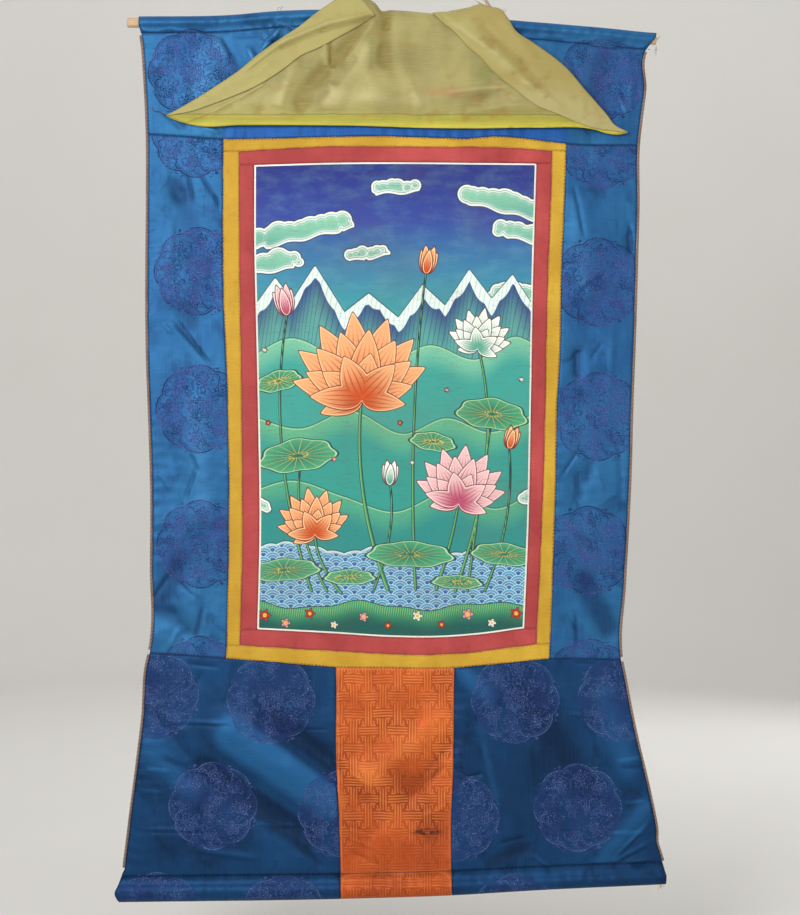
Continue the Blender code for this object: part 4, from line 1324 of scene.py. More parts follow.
orange_silk = orange_brocade()
LOWER_PANELS = (
    ("lower_silk_left", "lower_panel_left", "dark_blue_brocade", left_cloth_edge,
     follow(DOOR_LEFT), 235, 1.8, darker_shaded_blue_silk, 14),
    ("door_silk", "door_panel", "orange_brocade", follow(DOOR_LEFT), follow(DOOR_RIGHT), 133, 1.7,
     orange_silk, 15),
    ("lower_silk_right", "lower_panel_right", "dark_blue_brocade", follow(DOOR_RIGHT),
     right_cloth_edge, 225, 1.8, darker_shaded_blue_silk, 16),
)
for name, node, slot, left, right, width, cell, silk, seed in LOWER_PANELS:
    panel, points = sleeved(name, (left, right, follow(LOWER_SEAM), bottom_line), (width, 240),
                            cell, silk, seed, head=False)
    sew(panel, node, slot)

# %% [markdown]
# ## Yellow and red borders
#
# Two plain silk ribbons frame the painting, yellow outside and red inside. The strips above
# and below run the full width, and the side strips butt against them. Plain silk has a fine
# cross rib, and decades of lamp smoke leave uneven brown stains on it.


# %% Ribbon silk
def ribbon_silk(name, lit, deep, stain, left_shade, edge):
    """Plain ribbed silk with cloudy colour, stains, and small dark stitches at its edges."""
    finish = Finish(name, Specular_IOR_Level=0.25)
    finish.shader.inputs["Sheen Weight"].default_value = 0.15
    x, y = finish.map("cloth")
    reverse = finish.mark("reverse")
    broad = finish.noise(x / 45, y / 60, 2.0, detail=4)
    rib = finish.noise(x / 18, y / 0.7, 5.0)
    cross = finish.noise(x / 0.6, y / 20, 6.0)
    tone = finish.mix(broad.step(0.3, 0.7), deep, lit)
    blot = finish.noise(x / 14, y / 19, 9.0, detail=5, rough=0.6).step(0.56, 0.76)
    speck = finish.noise(x / 1.6, y / 1.6, 3.0).step(0.76, 0.82)
    stitches, turned = stitches_and_edge_shade(finish, x, y, 3.8)
    uneven = finish.noise(x / 6, y / 6, 14.0).step(0.35, 0.6)
    tone = finish.coats(tone, (
        (rib.step(0.45, 0.75) * 0.25, stain),
        # Painted shade, darker towards the left.
        (x.step(60.0, -190.0) * 0.3, left_shade),
        (blot * 0.35, stain),
        (speck * 0.45, stain),
        # Painted shade where the edge turns under, in the stain colour.
        (turned * 0.4, stain),
        (stitches * uneven * 0.5, edge)))
    back = seam_allowance(finish, finish.mix(0.5, tone, stain), tone, edge, 5.0)
    tone = finish.mix(reverse, tone, back)
    finish.bump(rib * 0.12 + cross * 0.08 + finish.noise(x / 6, y / 7, 7.0) * 0.2
                - stitches * 0.12)
    return finish.show(Base_Color=tone, Roughness=0.58 + rib * 0.12 + blot * 0.1)


yellow = ribbon_silk("yellow_silk", "#D2A834", "#BE9224", "#987020", "#B88C22", "#4A3414")
red = ribbon_silk("red_silk", "#BE4C4A", "#A43A3A", "#7E2C2E", "#983434", "#561A1E")


# %% Make eight border strips
def border(name, node, slot, finish, outer, inner, seed):
    """Four strips round a window, given its outer and inner (left, right, top, bottom)."""
    left, right, top, bottom = outer
    inner_left, inner_right, inner_top, inner_bottom = inner
    strips = (
        ("top", (left, right, top, inner_top), (390, 15)),
        ("bottom", (left, right, inner_bottom, bottom), (380, 17)),
        ("left", (left, inner_left, inner_top, inner_bottom), (18, 570)),
        ("right", (inner_right, right, inner_top, inner_bottom), (17, 570)),
    )
    for turn, (side, sides, size) in enumerate(strips):
        strip, points = flat_piece(f"{name}_{side}", sides, size, 2.0, finish, seed + turn, 0.6)
        sew(strip, f"{node}_{side}", slot)


YELLOW_RAILS = (follow(OUTER_LEFT), follow(OUTER_RIGHT), follow(UPPER_SEAM), follow(LOWER_SEAM))
RED_RAILS = (follow(INNER_LEFT), follow(INNER_RIGHT), follow(INNER_TOP), follow(INNER_BOTTOM))
PICTURE_RAILS = (follow(PICTURE_LEFT), follow(PICTURE_RIGHT), follow(PICTURE_TOP),
                 follow(PICTURE_BOTTOM))
border("yellow_ribbon", "outer_border", "yellow_silk", yellow, YELLOW_RAILS, RED_RAILS, 20)
border("red_ribbon", "inner_border", "red_silk", red, RED_RAILS, PICTURE_RAILS, 30)

# %% [markdown]
# ## Piping
#
# A thin twisted cord is sewn along both long edges to stiffen them. It has two strands, so
# the same twisted profile serves, with a shorter pitch.


# %% Make the piping
def piping_thread():
    """Brownish gold and pink threads twisted together, darkened by handling."""
    finish = Finish("piping", Specular_IOR_Level=0.3)
    finish.shader.inputs["Sheen Weight"].default_value = 0.3
    around, way = finish.map("cloth")
    strand = (around / (2 * math.pi * PIPING / 2) - way / 4.6).fraction()
    x, y, z = finish.object_place()
    fibre = finish.noise(x / 0.5, y / 0.5, z / 0.5, detail=3)
    tone = finish.mix(strand.band(0.5, 0.2), "#866C5C", "#B0948A")
    handled = finish.noise(x / 30, y / 30, z / 30, detail=3).step(0.45, 0.7)
    tone = finish.coats(tone, (
        (fibre, "#6E5442"),
        (handled * 0.5, "#5A4438")))
    finish.bump(fibre * 0.2)
    return finish.show(Base_Color=tone, Roughness=0.65 + fibre * 0.2)


SNUG = 0.3
PIPING_RUNS = (
    # name, edge, side, first drop, last drop
    ("upper_left", LEFT_EDGE, -1, 139, 848),
    ("lower_left", LEFT_EDGE, -1, 853, 1099),
    ("upper_right", RIGHT_EDGE, 1, 158, 856),
    ("lower_right", RIGHT_EDGE, 1, 861, 1091),
)
trim = piping_thread()
for where, table, side, first, last in PIPING_RUNS:
    drop = np.linspace(first, last, int((last - first) / 0.8))
    across = rail(table, drop) - side * PIPING / 2
    line = place(across, mount_depth(across, drop), drop)
    piece = twisted(f"edge_cord_{where}", line, (0, 1, 0), PIPING / 2 + SNUG, trim, 2, 4.6, 10)
    dress(piece, "piping", f"piping_{where}")
    print(piece.name, len(piece.data.polygons) * 2, "triangles")

# %% [markdown]
# ## Veil
#
# A loose silk veil covers the painting when nobody looks at it. Here it is gathered up: it
# hangs from two peaks over the rod, and its sides are folded forwards into two slanting
# flaps. The cloth is one sheet, so one grid runs from the left flap's free edge round the
# left fold, over the main layer, and round the right fold to the other free edge.

# %% Veil outlines: (across, drop) along each curve
VEIL_TOP = ((-55.4, 86.6), (-36.2, 98.1), (-27.7, 103.9), (-22.4, 111.0), (-11.0, 111.0),
            (6.6, 112.0), (35.4, 114.6), (58.0, 115.2), (72.0, 114.4), (83.1, 108.7),
            (92.3, 105.0))
VEIL_LEFT_FOLD = ((-55.4, 86.6), (-68.8, 98.1), (-94.6, 116.3), (-113.7, 131.6),
                  (-132.7, 144.0), (-161.6, 164.1), (-188.1, 185.6), (-212.3, 201.4),
                  (-232.0, 213.9), (-260.8, 230.1), (-268.3, 233.7))
VEIL_RIGHT_FOLD = ((92.3, 105.0), (100.4, 109.5), (113.4, 112.1), (122.3, 122.3),
                   (131.8, 137.1), (153.8, 152.2), (172.3, 165.0), (192.5, 181.9),
                   (210.0, 202.6), (225.0, 219.3), (236.6, 232.6), (245.5, 244.2),
                   (261.4, 253.0))
VEIL_HEM = ((-268.3, 233.7), (-256.8, 238.9), (-246.1, 241.9), (-238.0, 243.8),
            (-180.0, 243.8), (-34.6, 244.9), (26.5, 247.0), (92.3, 247.5), (161.6, 246.8),
            (223.4, 249.0), (238.4, 253.4), (249.8, 254.7), (261.4, 253.0))
VEIL_LEFT_FLAP = ((-28.9, 118.6), (-46.7, 130.2), (-65.8, 141.1), (-94.6, 156.5),
                  (-113.7, 165.0), (-132.8, 179.5), (-161.6, 197.6), (-196.2, 212.7),
                  (-220.4, 221.6), (-236.6, 227.3), (-252.7, 230.8))
VEIL_RIGHT_FLAP = ((37.5, 115.1), (47.8, 125.9), (61.2, 137.2), (78.7, 155.8), (92.3, 167.3),
                   (106.1, 182.7), (130.4, 202.0), (161.6, 223.9), (179.2, 230.4),
                   (196.9, 238.0), (221.6, 247.7))
VEIL_LAYER = 2.4
VEIL_BACK = -3.2
VEIL_FRONT = -12.2
VEIL_RELAX = 4.0
VEIL_LIP = 10.0
VEIL_CROWDING = 1.6
VEIL_FOLDS = (
    (-37, 132, -118, 214, 13, -3.4),      # long valley below the left flap
    (-30, 136, -80, 215, 13, 1.8),        # ridge beside it
    (-17, 118, -22, 170, 12, -2.6),       # valley under the notch
    (75, 130, 120, 178, 12, 2.0),         # ridge along the right flap
    (78, 222, 96, 214, 8, -1.6),          # dart near the hem
    (-150, 210, 30, 214, 12, 1.2),
)
MAIN_CREASES = (
    (-86, 148, -84, 178, 3.0, 2.0), (-84, 176, -74, 182, 3.0, 1.4),
    (-81, 146, -77, 180, 3.2, -1.8),
    (-51, 162, -79, 200, 7, -1.8), (-79, 200, -121, 229, 7, -1.8),
    (-26, 119, -65, 176, 4, 1.6), (-65, 176, -100, 215, 6, 1.2),
    (-16, 116, -16, 137, 4, -1.6), (-40, 140, -34, 222, 12, 1.2),
    (-22, 146, 2, 216, 10, -1.3), (-118, 168, -132, 200, 7, 1.1),
    (-247, 239, -216, 229, 2.2, 1.4), (-216, 229, -188, 215, 2.2, 1.5),
    (-188, 215, -154, 196, 2.2, 1.3), (-244, 241, -216, 232, 1.9, -1.5),
    (-216, 232, -188, 218, 1.9, -1.6), (-188, 218, -150, 197, 1.9, -1.3),
    (2, 172, 23, 229, 6, 0.9), (52, 206, 129, 199, 2.8, 1.6),
    (54, 214, 122, 207, 3.4, -1.5), (68, 234, 179, 226, 3.6, -1.9),
    (74, 227, 150, 219, 3.0, 1.1), (18, 236, 62, 232, 3.0, -1.2), (-182, 222, -108, 229, 2.6, -1.1),
    (-108, 229, -30, 229, 2.4, -0.8), (-30, 229, 30, 232, 2.4, -0.8),
    (-128, 192, -140, 226, 6, 1.3), (-150, 205, -165, 232, 6, -1.2),
    (40, 150, 52, 222, 12, 0.9), (8, 130, 18, 190, 14, -1.2),
)
FLAP_CREASES = (
    (-28, 116, -84, 129, 3.2, 2.3), (-84, 129, -133, 149, 3.2, 2.1),
    (-133, 149, -173, 178, 3.6, 1.5), (-34, 121, -88, 135, 2.8, -2.0),
    (-88, 135, -136, 155, 2.8, -1.9), (-136, 155, -172, 182, 3.0, -1.3),
    (-150, 172, -226, 216, 7.0, 0.8), (50, 119, 112, 165, 4.0, 1.8),
    (112, 165, 147, 197, 4.5, 1.5), (147, 197, 182, 222, 4.5, 1.2),
    (97, 133, 140, 172, 5.0, -1.3), (140, 172, 161, 197, 5.0, -1.2),
    (120, 128, 150, 165, 6.0, 1.0), (160, 200, 200, 206, 6.0, -0.9),
    (217, 248, 239, 236, 2.4, 0.9),
)


# %% Veil surface
def veil_depth(across, drop, layer):
    """Depth of the veil at a place; layer is 0 on the main cloth and 1 on a flap over it.

    From its top edge the cloth rounds forwards on a quarter ellipse, then hangs, nearer to the
    mount towards the hem. A flap follows the same form one layer further out.
    """
    out = VEIL_LAYER * layer
    edge = rail(VEIL_TOP, across)
    below = np.clip((drop - edge + out) / (VEIL_LIP + out), 0, 1)
    lip = VEIL_BACK - (VEIL_BACK - VEIL_FRONT + out) * np.sqrt(1 - (1 - below) ** 2)
    hang = VEIL_RELAX * ease((drop - 135) / 110)
    soft = ease((drop - edge - 6) / 14)
    detail = (ridges(MAIN_CREASES, across, drop, 0.15) * (1 - layer)
              + ridges(FLAP_CREASES, across, drop) * layer)
    faint = crinkle(across, drop, 41, 0.16) + crinkle(drop * 1.3, across, 42, 0.1)
    return lip + hang - (ridges(VEIL_FOLDS, across, drop) + detail + faint) * soft


def veil_patch(share_down, share_across):
    """The main layer's (across, drop) between its top edge, its hem and its two side folds."""
    s, t = share_down[:, None, None], share_across[None, :, None]
    top, hem = along(VEIL_TOP, share_across)[None], along(VEIL_HEM, share_across)[None]
    left = along(VEIL_LEFT_FOLD, share_down)[:, None]
    right = along(VEIL_RIGHT_FOLD, share_down)[:, None]
    ruled = (1 - s) * top + s * hem + (1 - t) * left + t * right
    corners = ((1 - s) * ((1 - t) * top[:, :1] + t * top[:, -1:])
               + s * ((1 - t) * hem[:, :1] + t * hem[:, -1:]))
    return ruled - corners


def veil_side(fold_table, flap_table, rows, sign, columns, turns):
    """A flap from its free edge to the side fold and round it: places and their layers."""
    fold, free = along(fold_table, rows), along(flap_table, rows)
    heading = np.gradient(fold, axis=0)
    outwards = unit(np.stack([-heading[:, 1], heading[:, 0]], axis=-1) * sign)
    share = np.linspace(0, 1, columns + 1)[None, :-1, None]
    flap = free[:, None] + (fold - free)[:, None] * share
    angle = np.linspace(0, math.pi, turns + 2)[1:-1]
    bulge = outwards[:, None] * (VEIL_LAYER / 2 * np.sin(angle))[None, :, None]
    layer = np.concatenate([np.ones(columns), (1 + np.cos(angle)) / 2])
    return np.concatenate([flap, fold[:, None] + bulge], axis=1), layer


def veil_grid(row_count, columns, flap_columns, turns):
    """One cloth: left flap, left fold, main layer, right fold, right flap."""
    rows = np.linspace(0, 1, row_count + 1) ** VEIL_CROWDING
    main = veil_patch(rows, np.linspace(0, 1, columns + 1))
    left, left_layer = veil_side(VEIL_LEFT_FOLD, VEIL_LEFT_FLAP, rows, 1, flap_columns, turns)
    right, right_layer = veil_side(VEIL_RIGHT_FOLD, VEIL_RIGHT_FLAP, rows, -1, flap_columns,
                                   turns)
    flat = np.concatenate([left, main, right[:, ::-1]], axis=1)
    layer = np.concatenate([left_layer, np.zeros(columns + 1), right_layer[::-1]])
    across, drop = flat[..., 0], flat[..., 1]
    return across, veil_depth(across, drop, layer[None]), drop, layer


# %% Veil silk
def veil_silk():
    """Thin khaki silk with a gold sheen, a bright band along the hem, and old stains."""
    finish = Finish("veil_silk", Specular_IOR_Level=0.3, Metallic=0.15)
    finish.shader.inputs["Sheen Weight"].default_value = 0.1
    x, y = finish.map("cloth")
    reverse = finish.mark("reverse")
    layer = finish.mark("layer")
    fold = finish.mark("fold")
    turned = layer * (1 - layer) * 4
    broad = finish.noise(x / 40, y / 60, 2.0, detail=3)
    rib = finish.noise(x / 24, y / 0.8, 5.0)
    cross = finish.noise(x / 0.7, y / 26, 6.0)
    tone = finish.mix(broad.step(0.3, 0.7), "#8B8250", "#A19860")
    right = x.step(20.0, 120.0)
    flap = finish.mix(right, "#B6AB6C", "#AC9656")
    pale = y.step(186.0, 216.0) * right * layer
    ragged = finish.noise(x / 16, y / 16, 6.5) * 4
    band = (y + ragged).step(233.0, 236.0) * (1 - layer)
    line = (y + ragged).band(233.6, 0.8) * (1 - layer)
    bright = finish.mix(y.step(237.0, 247.0), "#A29A34", "#CCC034")
    streak = finish.noise(x / 70, y / 2.4, 10.0, detail=3).step(0.46, 0.66)
    tone = finish.coats(tone, (
        (layer * 0.8, flap),
        (pale * broad.step(0.25, 0.5) * 0.7, "#C0B684"),
        # Painted shade in the valleys of the folds and a painted highlight on their ridges.
        (fold.step(-0.4, -2.8) * 0.7, "#756528"),
        (fold.step(0.3, 3.4) * 0.6, "#CAC28A")))
    bright = finish.mix(streak * 0.45, bright, "#8E8630")
    stain = finish.noise(x / 22, y / 16, 8.0, detail=4).step(0.54, 0.7)
    blush = finish.length((x - 52) / 34, (y - 206) / 7).step(1.2, 0.3)
    moss = finish.length((x - 98) / 12, (y - 183) / 12).step(1.2, 0.3)
    speck = finish.noise(x / 1.5, y / 1.5, 3.0).step(0.74, 0.8)
    tone = finish.coats(tone, (
        (y.step(214.0, 238.0) * (1 - layer) * 0.3, "#ABA43E"),
        (band * 0.85, bright),
        (line * 0.5, "#6C6224"),
        (rib.step(0.5, 0.75) * 0.25, "#C6BE78"),
        (stain * (0.25 + right * 0.3), "#98702F"),
        (blush * 0.4, "#B07C50"),
        (moss * 0.4 * (1 - layer), "#6F7C36"),
        (speck * 0.5, "#5E4A22"),
        (turned * (0.45 + right * 0.5), "#6A3822"),
        (reverse * 0.4, "#8A8246")))
    finish.bump(rib * 0.1 + cross * 0.06 + finish.noise(x / 5, y / 6, 7.0) * 0.16)
    return finish.show(Base_Color=tone, Roughness=0.52 + rib * 0.12)


VEIL_ROWS = 84
VEIL_COLUMNS = 250
VEIL_FLAP_COLUMNS = 36
VEIL_TURNS = 9
across, depth, drop, layer = veil_grid(VEIL_ROWS, VEIL_COLUMNS, VEIL_FLAP_COLUMNS, VEIL_TURNS)
points = place(across, depth, drop)
layers = np.broadcast_to(layer[None, :], across.shape)
fold = (ridges(VEIL_FOLDS, across, drop) + ridges(MAIN_CREASES, across, drop, 0.15) * (1 - layers)
        + ridges(FLAP_CREASES, across, drop) * layers)
veil = sheet("veil_cloth", points, SILK * 0.8, veil_silk(),
             {"cloth": np.stack([across, drop], axis=-1)}, {"layer": layers, "fold": fold})
sew(veil, "veil", "veil_silk")

# %% [markdown]
# ## Painted canvas
#
# The painting is ground mineral colour in glue on primed cotton. A painter lays flat fields
# first, then shades them, then draws every outline with a fine brush. Here each shape is a
# signed distance in millimetres: how far a point of the canvas lies inside its edge. The
# distances are worked out with numpy and kept on the mesh. The finish fills a shape where
# its distance is positive and draws its outline where it is near zero, so an edge stays
# crisp between the points of the grid. The picture is a free design of lotus flowers
# above a pond, with hills and clouds. Behind it the cotton is raw, with the lines faintly
# through it, tide marks and a narrow hem.


# %% Shapes as signed distances, positive inside
FAR_OUTSIDE = -40.0


def petal(x, y, base, lean, long, wide):
    """One pointed petal: its edge distance, the share of the way to its tip, and its side.

    On the petal's axis u runs from 0 at the base to 1 at the tip. The half-width there is
    wide * 2.45 * u^0.5 * (1 - u)^0.95, which is widest at a third of the way.
    """
    turn = math.radians(lean)
    ahead = (x - base[0]) * math.sin(turn) - (y - base[1]) * math.cos(turn)
    beside = (x - base[0]) * math.cos(turn) + (y - base[1]) * math.sin(turn)
    u = ahead / long
    inner = np.clip(u, 0.0, 1.0)
    half = wide * 2.45 * inner ** 0.5 * (1 - inner) ** 0.95 + 0.01
    beyond = np.maximum(np.abs(u - 0.5) - 0.5, 0) * long
    edge = (half - np.abs(beside)) * 0.93 - beyond
    return edge, inner, np.clip(beside / half, -1.5, 1.5)


def gather(x, shapes):
    """The union of a group's shapes: the largest distance, with that shape's other numbers."""
    kept = [np.full_like(x, FAR_OUTSIDE), np.zeros_like(x), np.zeros_like(x)]
    for numbers in shapes:
        ahead = numbers[0] > kept[0]
        kept = [np.where(ahead, new, old) for new, old in zip(numbers, kept)]
    return np.stack(kept, axis=-1)


def leaf(x, y, centre, wide, high, lean, veins=9):
    """A round floating leaf in perspective: edge, share of its radius, and its vein wave."""
    turn = math.radians(lean)
    ahead = (x - centre[0]) * math.cos(turn) + (y - centre[1]) * math.sin(turn)
    beside = ((y - centre[1]) * math.cos(turn) - (x - centre[0]) * math.sin(turn)) * wide / high
    angle = np.arctan2(beside, ahead)
    far = np.hypot(ahead, beside) / (1 + 0.05 * np.sin(angle * 7) + 0.03 * np.sin(angle * 3))
    edge = (wide - far) * (high / wide) ** 0.6
    return edge, np.clip(far / wide, 0, 1.2), far * np.sin(angle * veins) / veins


def stem(x, y, start, bend, end, radius):
    """A stalk along a bowed line, thicker at its foot, as the union of 18 straight runs."""
    t = np.linspace(0, 1, 19)[:, None]
    line = bow(*(np.array(spot) for spot in (start, bend, end)), t)
    runs = []
    for share, first, last in zip(t[:-1, 0], line[:-1], line[1:]):
        run = last - first
        way = ((x - first[0]) * run[0] + (y - first[1]) * run[1]) / (run @ run)
        way = np.clip(way, 0, 1)
        beside, below = x - first[0] - way * run[0], y - first[1] - way * run[1]
        size = radius * (0.8 + 0.4 * share)
        runs.append((size - np.hypot(beside, below), share + 0 * x, beside / size))
    return np.moveaxis(gather(x, runs), -1, 0)


def cloud(x, y, start, end, puffs, size, seed):
    """A bank of round puffs along a line, larger in its middle, over a flat, wavy foot."""
    pick = np.random.default_rng(seed)
    start, end = np.array(start, float), np.array(end, float)
    edge = np.full_like(x, FAR_OUTSIDE)
    for way in np.linspace(0, 1, puffs):
        swell = size * (0.5 + 0.6 * math.sin(math.pi * (0.12 + way * 0.76)))
        swell *= pick.uniform(0.9, 1.15)
        spot = start + (end - start) * way + pick.normal(0, size * 0.1, 2)
        edge = np.maximum(edge, swell - np.hypot(x - spot[0], y - spot[1]))
        low = spot + np.array([pick.uniform(-0.5, 0.5) * size, size * 0.4])
        edge = np.maximum(edge, swell * 0.8 - np.hypot(x - low[0], (y - low[1]) * 1.15))
    way = np.clip((x - start[0]) / (end[0] - start[0]), -0.3, 1.3)
    foot = start[1] + (end[1] - start[1]) * way + size * 0.8 + 1.6 * np.sin(x / 6)
    edge = np.minimum(edge, foot - y)
    middle = (start + end) / 2
    return edge, np.clip((y - middle[1]) / size * 0.5 + 0.5, 0, 1), 0 * x


def blossom(x, y, centre, size, hue):
    """A small five-petalled flower seen from above."""
    turn = np.arctan2(y - centre[1], x - centre[0])
    far = np.hypot(x - centre[0], y - centre[1])
    edge = size * (0.78 + 0.22 * np.cos(turn * 5)) - far
    return edge, np.clip(far / size, 0, 1.5), 0 * x + hue


# %% The design: places in mm right of the picture's middle and below its top
PICTURE_MIDDLE = -6.0
PICTURE_HEAD = 286.0
PICTURE_HEIGHT = 545
PETALS = (
    # lean in degrees, length and half-width as shares of the flower's size, group
    (-70, 0.90, 0.19, 0), (-47, 1.00, 0.21, 1), (-24, 1.06, 0.22, 0), (0, 1.10, 0.22, 1),
    (24, 1.06, 0.22, 0), (47, 1.00, 0.21, 1), (70, 0.90, 0.19, 0),
    (-59, 0.78, 0.19, 2), (-36, 0.85, 0.21, 3), (-12, 0.88, 0.21, 2), (12, 0.88, 0.21, 3),
    (36, 0.85, 0.21, 2), (59, 0.78, 0.19, 3),
    (-104, 0.56, 0.14, 4), (-82, 0.66, 0.16, 5), (-50, 0.60, 0.18, 4), (-17, 0.58, 0.19, 5),
    (17, 0.58, 0.19, 4), (50, 0.60, 0.18, 5), (82, 0.66, 0.16, 4), (104, 0.56, 0.14, 5),
)
BUD_PETALS = ((-20, 0.80, 0.17, 1), (20, 0.80, 0.17, 1), (-9, 0.95, 0.18, 2),
              (9, 0.95, 0.18, 3), (0, 0.82, 0.17, 4))
PETAL_GROUPS = 6
FLOWERS = (
    # place, size, lean, hue (0 orange, 0.5 rose, 1 pale), open
    ((-38, 272), 92, -6, 0.0, True), ((74, 392), 62, 7, 0.5, True),
    ((-92, 428), 50, -9, 0.0, True), ((96, 214), 44, 10, 1.0, True),
    ((-124, 176), 40, -12, 0.5, False), ((36, 128), 36, 9, 0.0, False),
    ((132, 330), 30, 14, 0.0, False), ((-6, 372), 32, 3, 1.0, False),
)
STEMS = (
    ((-38, 270), (-50, 380), (-8, 492), 1.9), ((74, 390), (66, 440), (48, 492), 1.6),
    ((-92, 426), (-92, 460), (-62, 496), 1.5), ((96, 212), (128, 330), (70, 494), 1.5),
    ((-124, 174), (-150, 330), (-96, 494), 1.3), ((36, 126), (14, 300), (24, 492), 1.3),
    ((132, 328), (140, 410), (104, 494), 1.2), ((-6, 370), (4, 420), (-24, 492), 1.2),
    ((-108, 344), (-120, 420), (-78, 494), 1.2), ((112, 296), (96, 400), (84, 494), 1.2),
)
LEAVES = (
    # place, half-width, half-height, lean, group
    ((-112, 338), 45, 19, -8, 0), ((112, 290), 41, 18, 7, 0), ((18, 452), 50, 15, 2, 0),
    ((-134, 252), 27, 12, -14, 1), ((126, 452), 38, 13, 6, 1), ((-128, 470), 42, 13, -4, 1),
    ((44, 322), 27, 11, 9, 1), ((-52, 478), 30, 9, 0, 1), ((72, 484), 30, 8, 3, 0),
)
CLOUDS = (
    # from, to, puffs, size, seed, group
    ((-168, 92), (-62, 68), 10, 15, 3, 0), ((168, 58), (82, 36), 9, 14, 4, 0),
    ((168, 152), (118, 148), 6, 12, 5, 0), ((-22, 30), (22, 27), 6, 10, 6, 0),
    ((-168, 120), (-116, 113), 7, 13, 7, 1), ((168, 86), (122, 76), 6, 12, 8, 1),
    ((-52, 108), (-14, 102), 6, 9, 9, 1), ((168, 384), (148, 388), 4, 9, 10, 1),
    ((-168, 392), (-150, 396), 4, 9, 11, 1),
)
SPRIGS = (
    ((-150, 522), 7.5, 0.0), ((-126, 531), 6.0, 0.6), ((-98, 520), 6.5, 0.2),
    ((-70, 533), 5.0, 0.9), ((-36, 524), 6.0, 0.5), ((-8, 534), 5.0, 0.1),
    ((26, 523), 6.5, 0.8), ((54, 533), 5.0, 0.0), ((84, 521), 7.0, 0.5),
    ((112, 531), 5.5, 0.9), ((140, 520), 7.5, 0.2), ((-150, 216), 3.6, 0.9),
    ((-70, 342), 3.4, 0.7), ((6, 300), 3.6, 0.3), ((146, 250), 3.4, 0.8),
    ((20, 346), 3.0, 0.9), ((-146, 300), 3.6, 0.2), ((60, 262), 3.2, 0.6),
)
PEAKS = ((-170, 176), (-138, 132), (-118, 158), (-92, 118), (-58, 172), (-30, 150), (4, 178),
         (32, 140), (58, 164), (86, 122), (112, 156), (136, 128), (170, 180))
HILLS = (
    # each a table of (place across, top) for a rolling edge
    ((-170, 226), (-120, 202), (-70, 222), (-20, 236), (40, 210), (96, 226), (140, 200),
     (170, 214)),
    ((-170, 290), (-110, 306), (-50, 286), (10, 312), (60, 294), (110, 310), (170, 284)),
    ((-170, 380), (-120, 366), (-60, 384), (0, 402), (60, 380), (120, 398), (170, 372)),
)
WATER_TOP = ((-170, 446), (-120, 438), (-60, 450), (0, 440), (60, 452), (120, 442), (170, 450))
BANK_TOP = ((-170, 504), (-110, 514), (-40, 506), (30, 516), (100, 508), (170, 512))


def broken_line(table, at):
    """Straight runs between rows, for the peaks."""
    places, values = np.array(table, float).T
    return np.interp(at, places, values)


def picture_marks(across, drop):
    """All the distances of the design, three numbers to a mark."""
    x, y = across - PICTURE_MIDDLE, drop - PICTURE_HEAD
    marks = {}
    groups = [[] for _ in range(PETAL_GROUPS)]
    hue, nearest = np.zeros_like(x), np.full_like(x, 1e6)
    for spot, size, lean, tint, is_open in FLOWERS:
        for tilt, long, wide, group in PETALS if is_open else BUD_PETALS:
            groups[group].append(petal(x, y, spot, tilt + lean, long * size, wide * size))
        far = np.hypot(x - spot[0], y - spot[1] + size / 2) / size
        hue = np.where(far < nearest, tint, hue)
        nearest = np.minimum(far, nearest)
    for group, shapes in enumerate(groups):
        marks[f"petals_{group}"] = gather(x, shapes)
    marks["flower_hue"] = hue
    marks["stems"] = gather(x, [stem(x, y, *row) for row in STEMS])
    for group in (0, 1):
        marks[f"leaves_{group}"] = gather(x, [leaf(x, y, *row[:4]) for row in LEAVES
                                              if row[4] == group])
        marks[f"clouds_{group}"] = gather(x, [cloud(x, y, *row[:5]) for row in CLOUDS
                                              if row[5] == group])
    marks["sprigs"] = gather(x, [blossom(x, y, *row) for row in SPRIGS])
    peak = broken_line(PEAKS, x)
    ragged = 13 + 5 * np.abs(np.sin(x / 5.5)) + 4 * np.sin(x / 13)
    marks["peaks"] = np.stack([(y - peak) * 0.72, (y - peak - ragged) * 0.8, x], axis=-1)
    tops = [rail(table, x) for table in HILLS]
    marks["hills"] = np.stack([y - top for top in tops], axis=-1)
    water, bank = rail(WATER_TOP, x), rail(BANK_TOP, x)
    foam = 2.2 * np.abs(np.sin(x / 6.2))
    marks["pond"] = np.stack([y - water + foam, y - bank + 1.5 * np.sin(x / 9), y], axis=-1)
    return marks


# %% Paint: one layer over another
OUTLINE = "#1C2B3C"
WAVE_RADIUS = 10.5


def layer_on(finish, below, edge, fill, outline, width=0.55):
    """Fill where the edge distance is positive, then draw the outline along its zero."""
    inside = edge.step(-0.25, 0.25)
    filled = finish.mix(inside, below, fill)
    return finish.mix(edge.band(0.0, width) * 0.9, filled, outline)


def numbers(finish, title):
    """The three numbers of a mark."""
    x = finish.node("SeparateXYZ", values={0: finish.mark(title, out="Vector")})
    return x, x.other("Y"), x.other("Z")


def scale_waves(finish, x, y, wide=21.0, high=5.4, radius=WAVE_RADIUS):
    """Rows of overlapping arcs: each point's distance from the arc centre that covers it.

    Lower rows lie over upper ones, so rows are tried from the back to the front, and a row
    whose circle covers the point takes over.
    """
    below = finish.math("FLOOR", y / high)
    value = None
    for ahead in (-1.0, 0.0, 1.0, 2.0):
        row = below + ahead
        shift = finish.math("FLOORED_MODULO", row, 2.0) * 0.5
        beside = ((x / wide + shift).fraction() - 0.5) * wide
        far = finish.length(beside, y - (row + 1.0) * high)
        if value is None:
            value = far
        else:
            covers = far < radius
            value = value * (1 - covers) + far * covers
    return value


